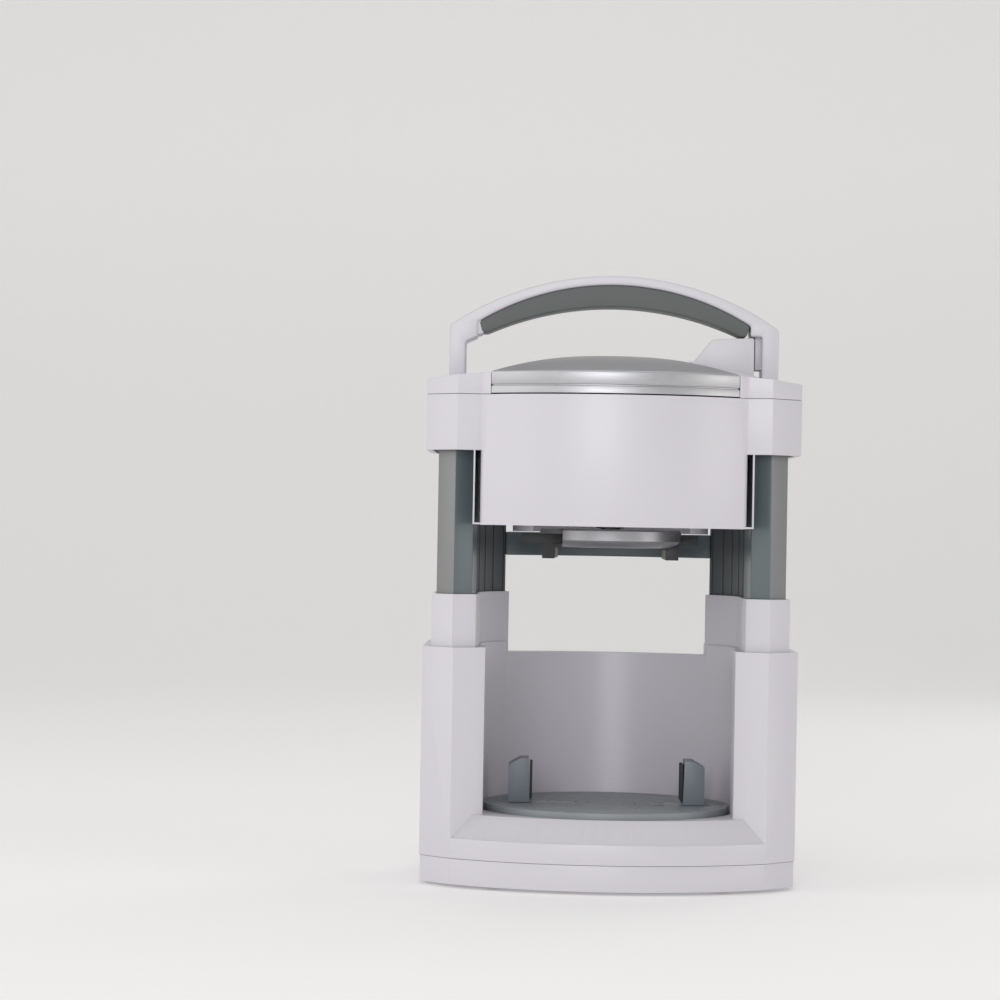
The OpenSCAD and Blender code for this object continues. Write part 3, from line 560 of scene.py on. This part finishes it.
def add_node(group, kind, values=None, links=None, **settings):
    """A node with its settings, its unlinked values and what it takes from other sockets."""
    node = group.nodes.new(kind)
    for label, value in settings.items():
        setattr(node, label, value)
    for label, value in (values or {}).items():
        node.inputs[label].default_value = value
    for label, socket in (links or {}).items():
        group.links.new(socket, node.inputs[label])
    return node


def ends_in(group, out, instances, material):
    """Realizes instances, gives them their material and sends them out."""
    real = add_node(group, "GeometryNodeRealizeInstances", links={0: instances})
    dressed = add_node(
        group, "GeometryNodeSetMaterial", links={0: real.outputs[0], "Material": material},
    )
    group.links.new(dressed.outputs[0], out.inputs[0])


def arc_group():
    """Copies of a small block set along an arc about the Z axis, each turned to face it."""
    group, given, out = geometry_group("Arc of blocks", [
        ("Count", "NodeSocketInt", 36),
        ("Radius", "NodeSocketFloat", 0.05),
        ("From", "NodeSocketFloat", 0.0),
        ("To", "NodeSocketFloat", 6.1),
        ("Height", "NodeSocketFloat", 0.0),
        ("Block", "NodeSocketVector", (0.003, 0.001, 0.001)),
        ("Material", "NodeSocketMaterial", None),
    ])
    line = add_node(group, "GeometryNodeMeshLine", links={"Count": given.outputs["Count"]})
    index = add_node(group, "GeometryNodeInputIndex").outputs[0]
    last = math_node(group, "SUBTRACT", given.outputs["Count"], 1.0)
    sweep_angle = math_node(group, "SUBTRACT", given.outputs["To"], given.outputs["From"])
    share = math_node(group, "DIVIDE", index, last)
    angle = math_node(
        group, "ADD", given.outputs["From"], math_node(group, "MULTIPLY", share, sweep_angle),
    )
    x = math_node(group, "MULTIPLY", math_node(group, "COSINE", angle, 0.0), given.outputs["Radius"])
    y = math_node(group, "MULTIPLY", math_node(group, "SINE", angle, 0.0), given.outputs["Radius"])
    spot = add_node(
        group, "ShaderNodeCombineXYZ", links={"X": x, "Y": y, "Z": given.outputs["Height"]},
    )
    points = add_node(
        group, "GeometryNodeSetPosition", links={0: line.outputs[0], "Position": spot.outputs[0]},
    )
    facing = add_node(group, "ShaderNodeCombineXYZ", links={"Z": angle})
    turn = add_node(group, "FunctionNodeEulerToRotation", links={0: facing.outputs[0]})
    block = add_node(group, "GeometryNodeMeshCube", links={"Size": given.outputs["Block"]})
    copies = add_node(
        group, "GeometryNodeInstanceOnPoints",
        links={"Points": points.outputs[0], "Instance": block.outputs[0], "Rotation": turn.outputs[0]},
    )
    ends_in(group, out, copies.outputs[0], given.outputs["Material"])
    return group


def dome_group():
    """Raises a plate into a dome: each point by its share of the way to the rim."""
    group, given, out = geometry_group("Domed plate", [
        ("Rise", "NodeSocketFloat", 0.013),
        ("Material", "NodeSocketMaterial", None),
    ])
    reach = add_node(group, "GeometryNodeInputNamedAttribute", {"Name": "reach"}, data_type="FLOAT")
    fall = math_node(group, "MULTIPLY", reach.outputs[0], reach.outputs[0])
    lift = math_node(group, "MULTIPLY", math_node(group, "SUBTRACT", 1.0, fall), given.outputs["Rise"])
    offset = add_node(group, "ShaderNodeCombineXYZ", links={"Z": lift})
    raised = add_node(
        group, "GeometryNodeSetPosition", links={0: given.outputs[0], "Offset": offset.outputs[0]},
    )
    ends_in(group, out, raised.outputs[0], given.outputs["Material"])
    return group


def row_group():
    """Copies of a block set in a straight row from one point to another."""
    group, given, out = geometry_group("Row of blocks", [
        ("Count", "NodeSocketInt", 8),
        ("Start", "NodeSocketVector", (0, 0, 0)),
        ("End", "NodeSocketVector", (0, 0, 0.1)),
        ("Block", "NodeSocketVector", (0.001, 0.001, 0.05)),
        ("Material", "NodeSocketMaterial", None),
    ])
    line = add_node(
        group, "GeometryNodeMeshLine", mode="END_POINTS",
        links={
            "Count": given.outputs["Count"], "Start Location": given.outputs["Start"],
            "Offset": given.outputs["End"],
        },
    )
    block = add_node(group, "GeometryNodeMeshCube", links={"Size": given.outputs["Block"]})
    copies = add_node(
        group, "GeometryNodeInstanceOnPoints",
        links={"Points": line.outputs[0], "Instance": block.outputs[0]},
    )
    ends_in(group, out, copies.outputs[0], given.outputs["Material"])
    return group


GEOMETRY_GROUPS = {"Arc of blocks": arc_group, "Row of blocks": row_group, "Domed plate": dome_group}


def run_group(piece, group_name, values, material):
    """Runs one of the geometry groups on a piece and leaves a plain mesh."""
    if group_name not in bpy.data.node_groups:
        GEOMETRY_GROUPS[group_name]()
    group = bpy.data.node_groups[group_name]
    modifier = piece.modifiers.new(group_name, "NODES")
    modifier.node_group = group
    ids = {
        item.name: item.identifier for item in group.interface.items_tree
        if item.item_type == "SOCKET" and item.in_out == "INPUT"
    }
    for label, value in values.items():
        modifier[ids[label]] = value
    modifier[ids["Material"]] = material
    return apply_modifiers(piece)


def grown(name, group_name, values, material, body, bevel=0.2 * MM, slot=None):
    """A piece that a geometry group makes from nothing, as a plain mesh on a body."""
    piece = bpy.data.objects.new(name, bpy.data.meshes.new(name))
    bpy.context.scene.collection.objects.link(piece)
    run_group(piece, group_name, values, material)
    for face in piece.data.polygons:
        face.use_smooth = True
    bevelled(piece, bevel)
    place(piece, body, slot=slot)


# ---------- pieces ----------


def build_base():
    white = housing_material()
    edge, facet = shape().edge, shape().facet
    rounded("base_pan", white, "base", edge, facet)
    rounded("base_shell", white, "base", edge, facet)
    for side in ("left", "right"):
        rounded("sleeve_" + side, white, "base", 0.7 * MM, 1.8 * MM)
    dress("feet", rubber_material())


# Studs on the turntable: a stud's size and how far it is let into the top, and in millimetres the
# rings' radii and how far they keep from the middle of the jaws' slots
STUD = mm(3.4, 1.4, 0.6)
STUD_SUNK = 0.1 * MM
STUD_RINGS = (44, 66)
STUD_CLEAR = 11.5


def build_turntable():
    rounded("turntable", table_material(), "turntable", 0.9 * MM)
    dress("turntable_plate", table_material())
    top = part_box("turntable")[1].z
    for radius in STUD_RINGS:
        clear = math.asin(STUD_CLEAR / radius)
        for half in (0, 1):
            grown(
                "turntable_studs_%d_%d" % (radius, half), "Arc of blocks",
                {
                    "Count": shape().table_studs // 2, "Radius": radius * MM,
                    "Height": top - STUD_SUNK, "Block": STUD,
                    "From": half * math.pi + clear, "To": (half + 1) * math.pi - clear,
                },
                table_material(), "turntable", slot=slot_of("turntable"),
            )


# A pad's ribs: how many times their visible depth they reach back, which takes them into the plate,
# how much of their pitch they fill, and how much shorter than the pad they are
PAD_RIB_REACH = 1.1
PAD_RIB_SHARE = 0.62
PAD_RIB_SHORT = 0.8 * MM


def ribbed_pad(node, material, body, ribs, deep):
    """A pad in the place of a CAD node: a back plate with upright ribs grown in a row."""
    low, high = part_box(node)
    side = 1 if low.x > 0 else -1
    inner, outer = sorted((low.x, high.x), key=abs)
    face = inner + side * deep
    plate = new_piece(node + "_plate", block_bmesh(
        ((min(face, outer), low.y, low.z), (max(face, outer), high.y, high.z)),
    ), material)
    place(bevelled(plate, 0.25 * MM), body, node)
    pitch = (high.y - low.y) / ribs
    reach = deep * PAD_RIB_REACH
    middle = inner + side * reach / 2
    height = (low.z + high.z) / 2
    grown(
        node + "_ribs", "Row of blocks",
        {
            "Count": ribs, "Start": (middle, low.y + pitch / 2, height),
            "End": (middle, high.y - pitch / 2, height),
            "Block": (reach, pitch * PAD_RIB_SHARE, high.z - low.z - PAD_RIB_SHORT),
        },
        material, body, 0.15 * MM, slot_of(node),
    )


def build_jar_jaws():
    for side in ("left", "right"):
        body = "jar_jaw_" + side
        rounded("jar_jaw_" + side, jaw_material(), body, 0.8 * MM)
        ribbed_pad("jar_pad_" + side, rubber_material(), body, 8, 0.9 * MM)


# A rail's outer side starts at RAIL_SIDE from the middle and has painted light, a paler copy of the rail's
# colour.
# Its inner channel is the round face within CHANNEL_RADIUS and behind CHANNEL_FRONT, with ribs between two
# angles from the side; channel and ribs have painted shade, a darker colour than the rail's.
RAIL_SIDE = 94.2 * MM
CHANNEL_RADIUS = 82.3 * MM
CHANNEL_FRONT = -49 * MM
RIB_RADIUS = 82.05 * MM
RIB_ANGLES = (-8, 38)
RIB = mm(0.7, 1.4)
RIB_SHORT = 6 * MM


def build_rails():
    for side, sign in (("left", -1), ("right", 1)):
        rail = rounded("rail_" + side, rail_material(), "head", 0.8 * MM, 1.6 * MM)
        # Two more colours: painted shade for the inner channel, painted light for the outer side
        rail.data.materials.append(channel_shade_material())
        rail.data.materials.append(rail_side_painted_light_material())
        for face in rail.data.polygons:
            x, y = face.center.x * sign, face.center.y
            inward = face.normal.x * sign < 0
            # The outer side gets the painted light colour
            if x > RAIL_SIDE:
                face.material_index = 2
            # The inner channel's faces get the painted shade colour
            if math.hypot(x, y) < CHANNEL_RADIUS and inward and y > CHANNEL_FRONT:
                face.material_index = 1
        low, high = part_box("rail_" + side)
        ends = [math.radians(angle) for angle in RIB_ANGLES]
        if sign < 0:
            ends = [math.pi - ends[1], math.pi - ends[0]]
        # The ribs take the channel's painted shade colour
        grown(
            "rail_ribs_" + side, "Arc of blocks",
            {
                "Count": shape().rail_ribs, "Radius": RIB_RADIUS, "From": ends[0], "To": ends[1],
                "Height": (low.z + high.z) / 2, "Block": (*RIB, high.z - low.z - RIB_SHORT),
            },
            channel_shade_material(), "head", 0.12 * MM, slot_of("rail_" + side),
        )
    rounded("rear_crossbar", rail_material(), "head", 0.7 * MM)


def head_block(low, high):
    """A block's corners from millimetres, with heights above the head's underside."""
    return tuple((x * MM, y * MM, HEAD_LOW + z * MM) for x, y, z in (low, high))


def beside(side, low, high):
    """A head block on the right, side 1, or mirrored to the left, side -1."""
    ends = sorted((side * low[0], side * high[0]))
    return head_block((ends[0], *low[1:]), (ends[1], *high[1:]))


# Blocks in millimetres: the collar's opening, and each thin fin with the foot that joins it to the head
COLLAR_OPENING = ((-46.5, -62, -5), (46.5, -8, -0.02))
FIN = ((81.1, -63.8, 0.2), (82.1, -60.1, 43.9))
FIN_FOOT = ((77.0, -63.6, 0.2), (81.6, -60.6, 1.3))


def build_head():
    white = housing_material()
    edge, facet = shape().edge, shape().facet
    # The collar under the head is open at the front, where the clamp shows
    cut(rounded("head_shell", white, "head", edge, facet), head_block(*COLLAR_OPENING))
    rounded("top_cover", white, "head", edge, facet)
    fins = block_bmesh(*[beside(side, *block) for side in (-1, 1) for block in (FIN, FIN_FOOT)])
    place(
        bevelled(new_piece("side_fins", fins, white), 0.25 * MM), "head",
        slot=slot_of("head_shell"),
    )


# The lid's front and back bulge by LID_BULGE over LID_HALF to each side, in millimetres
LID_BULGE = 28.5
LID_HALF = 78.0
LID_STEPS = 40
# Heights and insets in millimetres: round the groove, and from the band over its top edge
LID_GROOVE = 4.2
GROOVE_PROFILE = (
    (-0.5, 0), (-0.15, 0.15), (0, 0.5), (0.1, 0.8), (0.6, 0.8), (0.7, 0.5), (0.85, 0.15), (1.2, 0),
)
BAND_PROFILE = ((-1.2, 0), (-0.7, 0.1), (-0.3, 0.35), (0, 0.8), (0.15, 1.3))
DOME_LOOPS = 24


def lid_outline(inset):
    """Points round the lid's outline, moved in by inset, in metres."""
    half_x = LID_HIGH.x - inset
    radius = (LID_HALF ** 2 + LID_BULGE ** 2) / (2 * LID_BULGE) * MM
    points = []
    for side in (-1, 1):
        for i in range(LID_STEPS + 1):
            x = side * (-half_x + 2 * half_x * i / LID_STEPS)
            y = side * (LID_HIGH.y - radius + math.sqrt((radius - inset) ** 2 - x * x))
            points.append((x, y))
        # The straight end has points of its own down to its middle, in shrinking steps, for even shading
        for i in range(1, 5):
            points.append((side * half_x, points[-1][1] * (1 - i / 4)))
    return points


def build_lid():
    low, high = LID_LOW, LID_HIGH
    groove = low.z + LID_GROOVE * MM
    band = high.z - shape().dome
    rows = [(low.z, 0.0)]
    rows += [(groove + z * MM, inset * MM) for z, inset in GROOVE_PROFILE]
    rows += [(band + z * MM, inset * MM) for z, inset in BAND_PROFILE]
    loops = [[Vector((x, y, z)) for x, y in lid_outline(inset)] for z, inset in rows]
    # The dome starts as a flat plate of shrinking loops, and each point keeps its share of the way out
    start, inset = rows[-1]
    edge = lid_outline(inset)
    span = DOME_LOOPS + 0.5
    for i in range(1, DOME_LOOPS + 1):
        share = 1 - i / span
        loops.append([Vector((x * share, y * share, start)) for x, y in edge])
    piece = new_piece("lid_skin", sweep(loops), silver_material(), smooth_angle=LID_CREASE)
    reach = piece.data.attributes.new("reach", "FLOAT", "POINT")
    for vertex in piece.data.vertices:
        loop = vertex.index // len(edge) - len(rows) + 1
        reach.data[vertex.index].value = 1 - max(0, loop) / span
    run_group(piece, "Domed plate", {"Rise": high.z - start}, silver_material())
    bezel_low, bezel_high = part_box("button_bezel")
    clear, beyond = 0.3 * MM, 5 * MM
    cut(piece, (
        (bezel_low.x - clear, bezel_low.y - clear, low.z - beyond),
        (high.x + beyond, bezel_high.y + clear, high.z + beyond),
    ))
    place(piece, "head", "lid_cover")


# The white wedge against the grip's left end: its outline across the head and upwards, and half its
# depth; and the guide between the button and the post, all in millimetres
WEDGE_OUTLINE = ((-85.0, 127.5), (-81.9, 126.4), (-77.3, 117.0), (-79.6, 114.9), (-85.0, 113.6))
WEDGE_HALF = 11.9
BUTTON_GUIDE = ((84.9, -7, 96), (89.6, 10, 116))


def build_handle():
    white = housing_material()
    rounded("handle_shell", white, "head", 1.3 * MM, segments=4)
    rounded("handle_grip", grip_material(), "head", 0.9 * MM)
    wedge = sweep([
        [Vector((x * MM, y * MM, HEAD_LOW + z * MM)) for x, z in WEDGE_OUTLINE]
        for y in (-WEDGE_HALF, WEDGE_HALF)
    ])
    guide = block_bmesh(head_block(*BUTTON_GUIDE))
    for name, bm, bevel in (("handle_wedge", wedge, 0.5 * MM), ("button_guide", guide, 0.4 * MM)):
        place(bevelled(new_piece(name, bm, white), bevel), "head", slot=slot_of("handle_shell"))


def build_button():
    white = housing_material()
    rounded("start_button", white, "start_button", 1.0 * MM)
    rounded("button_bezel", white, "head", 0.5 * MM)


# The clamp's disc: its section as radius and height, and the openings that its two arms slide in
CLAMP_PROFILE = (
    (3.2, -1.6), (43.0, -1.6), (44.0, -2.6), (44.0, -8.2), (42.6, -9.8), (38.0, -12.3), (3.2, -12.3),
)
CLAMP_STEPS = 96
CLAMP_OPENINGS = (
    ((-60, -14.2, -20), (8, 13.8, -4.5)),
    ((-8, -13.8, -20), (60, 14.2, -4.5)),
    ((-60, -50, -20), (-29, 12, 0)),
    ((29, -12, -20), (60, 50, 0)),
)


def build_lid_clamp():
    turns = [2 * math.pi * i / CLAMP_STEPS for i in range(CLAMP_STEPS)]
    loops = [
        [
            Vector((r * MM * math.cos(turn), r * MM * math.sin(turn), HEAD_LOW + z * MM))
            for turn in turns
        ] for r, z in CLAMP_PROFILE
    ]
    disc = new_piece("clamp_disc", sweep(loops, caps=False), silver_material())
    cut(disc, *[head_block(*opening) for opening in CLAMP_OPENINGS])
    place(disc, "lid_clamp", "lid_drum")
    dress("drum_cover", silver_material())
    for side in ("left", "right"):
        body = "lid_jaw_" + side
        rounded("lid_jaw_" + side, black_material(), body, 0.7 * MM)
        ribbed_pad("lid_pad_" + side, pad_material(), body, 6, 0.8 * MM)


def build_works():
    for node in (
        "jar_pinion", "tube_gear", "base_idler_inner", "base_idler_outer", "turntable_gear",
        "turntable_bush", "spindle_gear", "head_idler", "rod_gear", "motor_pinion", "lid_pinion",
        "spindle_bush_low", "spindle_bush_top",
    ):
        dress(node, acetal_material())
    for node in (
        "gear_plate", "plate_screws", "base_screws", "drive_tube", "drive_rod", "spindle", "motor",
        "button_spring",
    ):
        dress(node, steel_material())
    dress("control_board", board_material())
    dress("start_switch", black_material())
    dress("cord_bush", rubber_material())


# ---------- stage ----------

# The world's strength on the opener, and how much paler it is where it is seen
WORLD_LIGHT = 0.42
WORLD_SEEN = 0.20
# The floor runs back from FLOOR_FRONT to FLOOR_BACK, bends up on COVE_RADIUS and rises to WALL_TOP
FLOOR_FRONT = -9.0
FLOOR_BACK = 2.2
COVE_RADIUS = 0.8
COVE_STEPS = 12
WALL_TOP = 4.0
FLOOR_HALF = 5.0
# Each lamp: place, what it looks at, side, watts and colour
LAMPS = (
    ("key_light", (-1.85, -0.80, 0.80), (0, 0, 0.18), 1.9, 13.5, (1.0, 0.985, 0.97)),
    ("fill_light", (-0.25, -2.1, 0.70), (0, 0, 0.2), 0.9, 12.5, (0.97, 0.975, 1.0)),
    ("side_light", (1.7, -0.85, 0.45), (0, 0, 0.2), 0.8, 5, (1.0, 0.97, 0.93)),
    ("top_light", (0.1, 0.1, 1.9), (0, 0, 0.2), 1.2, 4, (1, 1, 1)),
    ("rim_light", (1.2, 1.5, 1.0), (0, 0, 0.3), 0.8, 4, (1, 1, 1)),
)
# The camera: its place in metres, its turn about the upright, its tilt up from straight down and its
# roll in degrees, and its lens in millimetres
CAMERA_PLACE = (-0.045, -1.85, 0.212)
CAMERA_TURN = 0.682
CAMERA_TILT = 90.469
CAMERA_ROLL = 1.018
CAMERA_LENS = 110.07


def light_world(scene):
    """A plain world: seen directly or in a gloss it is pale, and it lights the opener less."""
    world = bpy.data.worlds.new("Studio")
    scene.world = world
    world.use_nodes = True
    tree = world.node_tree
    background = tree.nodes["Background"]
    background.inputs["Color"].default_value = (1, 1, 1, 1)
    path = tree.nodes.new("ShaderNodeLightPath")
    seen = path.outputs["Is Camera Ray"]
    for ray in ("Is Glossy Ray", "Is Transmission Ray"):
        seen = math_node(tree, "MAXIMUM", seen, path.outputs[ray])
    paler = math_node(tree, "MULTIPLY", seen, WORLD_SEEN)
    strength = math_node(tree, "ADD", paler, WORLD_LIGHT)
    tree.links.new(strength, background.inputs["Strength"])


def lay_floor(scene):
    """A pale floor that bends up into a wall behind the opener."""
    profile = [(FLOOR_FRONT, 0.0)]
    for i in range(COVE_STEPS + 1):
        angle = math.radians(90 * i / COVE_STEPS)
        profile.append((
            FLOOR_BACK + COVE_RADIUS * math.sin(angle), COVE_RADIUS - COVE_RADIUS * math.cos(angle),
        ))
    profile.append((FLOOR_BACK + COVE_RADIUS, WALL_TOP))
    bm = bmesh.new()
    rows = [[bm.verts.new((x, y, z)) for y, z in profile] for x in (-FLOOR_HALF, FLOOR_HALF)]
    for i in range(len(profile) - 1):
        bm.faces.new((rows[0][i], rows[1][i], rows[1][i + 1], rows[0][i + 1]))
    mesh = bpy.data.meshes.new("studio_floor")
    bm.to_mesh(mesh)
    bm.free()
    for face in mesh.polygons:
        face.use_smooth = True
    floor = bpy.data.objects.new("studio_floor", mesh)
    scene.collection.objects.link(floor)
    material = bpy.data.materials.new("Studio floor")
    material.use_nodes = True
    inputs = material.node_tree.nodes["Principled BSDF"].inputs
    for label, value in (
        ("Base Color", (0.80, 0.79, 0.78, 1)), ("Roughness", 0.7),
        ("Emission Color", (1, 1, 1, 1)), ("Emission Strength", 0.19),
    ):
        inputs[label].default_value = value
    mesh.materials.append(material)


def hang_lamps(scene):
    """Soft square lamps round the opener."""
    for name, spot, aim, size, power, color in LAMPS:
        data = bpy.data.lights.new(name, "AREA")
        data.shape = "SQUARE"
        data.size = size
        data.energy = power
        data.color = color
        lamp = bpy.data.objects.new(name, data)
        way = Vector(aim) - Vector(spot)
        lamp.rotation_euler = way.to_track_quat("-Z", "Y").to_euler()
        lamp.location = spot
        scene.collection.objects.link(lamp)


def set_camera(scene):
    """The camera, level with the opener and a little to its left."""
    data = bpy.data.cameras.new("photo_camera")
    data.lens = CAMERA_LENS
    data.sensor_width = 36
    data.clip_start = 0.01
    camera = bpy.data.objects.new("photo_camera", data)
    camera.matrix_world = (
        Matrix.Translation(CAMERA_PLACE)
        @ Matrix.Rotation(math.radians(CAMERA_TURN), 4, "Z")
        @ Matrix.Rotation(math.radians(CAMERA_TILT), 4, "X")
        @ Matrix.Rotation(math.radians(CAMERA_ROLL), 4, "Z")
    )
    scene.collection.objects.link(camera)
    scene.camera = camera


def build_stage():
    scene = bpy.context.scene
    light_world(scene)
    lay_floor(scene)
    hang_lamps(scene)
    set_camera(scene)
    scene.view_settings.view_transform = "Standard"


# ---------- operators and panel ----------


def operator(name, label, doc, build):
    """An operator class that runs one builder."""

    def execute(self, context):
        build()
        return {"FINISHED"}

    return type(
        "OPENER_OT_" + name, (bpy.types.Operator,),
        {"__doc__": doc, "bl_idname": "opener." + name, "bl_label": label, "execute": execute},
    )


OPERATORS = [
    operator("base", "Base", "Builds the base pan, the column shell, the sleeves and the feet", build_base),
    operator("turntable", "Turntable", "Builds the turntable and its grip studs", build_turntable),
    operator("jar_jaws", "Jar jaws", "Builds the two jar jaws and their pads", build_jar_jaws),
    operator("rails", "Rails", "Builds the sliding rails and the rear crossbar", build_rails),
    operator("head", "Head", "Builds the head shell and the top cover", build_head),
    operator("lid", "Lid", "Builds the domed silver lid", build_lid),
    operator("handle", "Handle", "Builds the arched handle and its soft grip", build_handle),
    operator("button", "Start button", "Builds the start button and its bezel", build_button),
    operator("lid_clamp", "Lid clamp", "Builds the clamp drum and the lid jaws", build_lid_clamp),
    operator("works", "Works", "Gives the gears, shafts and motor their finishes", build_works),
    operator("stage", "Stage", "Builds the studio floor, the lights and the camera", build_stage),
]


class OPENER_PT_panel(bpy.types.Panel):
    """Finishes, shapes and build steps of the jar opener"""

    bl_label = "Jar opener"
    bl_idname = "OPENER_PT_panel"
    bl_space_type = "VIEW_3D"
    bl_region_type = "UI"
    bl_category = "Jar opener"

    def draw(self, context):
        layout = self.layout
        for title, group in (("Finish", finish()), ("Shape", shape())):
            box = layout.box()
            box.label(text=title)
            for name in group.bl_rna.properties.keys():
                if name not in ("rna_type", "name"):
                    box.prop(group, name)
        column = layout.column(align=True)
        for item in OPERATORS:
            column.operator(item.bl_idname)


CLASSES = [OpenerFinish, OpenerShape, *OPERATORS, OPENER_PT_panel]


def register():
    for item in CLASSES:
        bpy.utils.register_class(item)
    bpy.types.Scene.opener_finish = PointerProperty(type=OpenerFinish)
    bpy.types.Scene.opener_shape = PointerProperty(type=OpenerShape)


def unregister():
    del bpy.types.Scene.opener_shape
    del bpy.types.Scene.opener_finish
    for item in reversed(CLASSES):
        bpy.utils.unregister_class(item)


def main():
    register()
    for item in OPERATORS:
        step = getattr(bpy.ops.opener, item.bl_idname.split(".")[1])
        if step() != {"FINISHED"}:
            raise RuntimeError(item.bl_label + " did not finish")


if __name__ == "__main__":
    main()
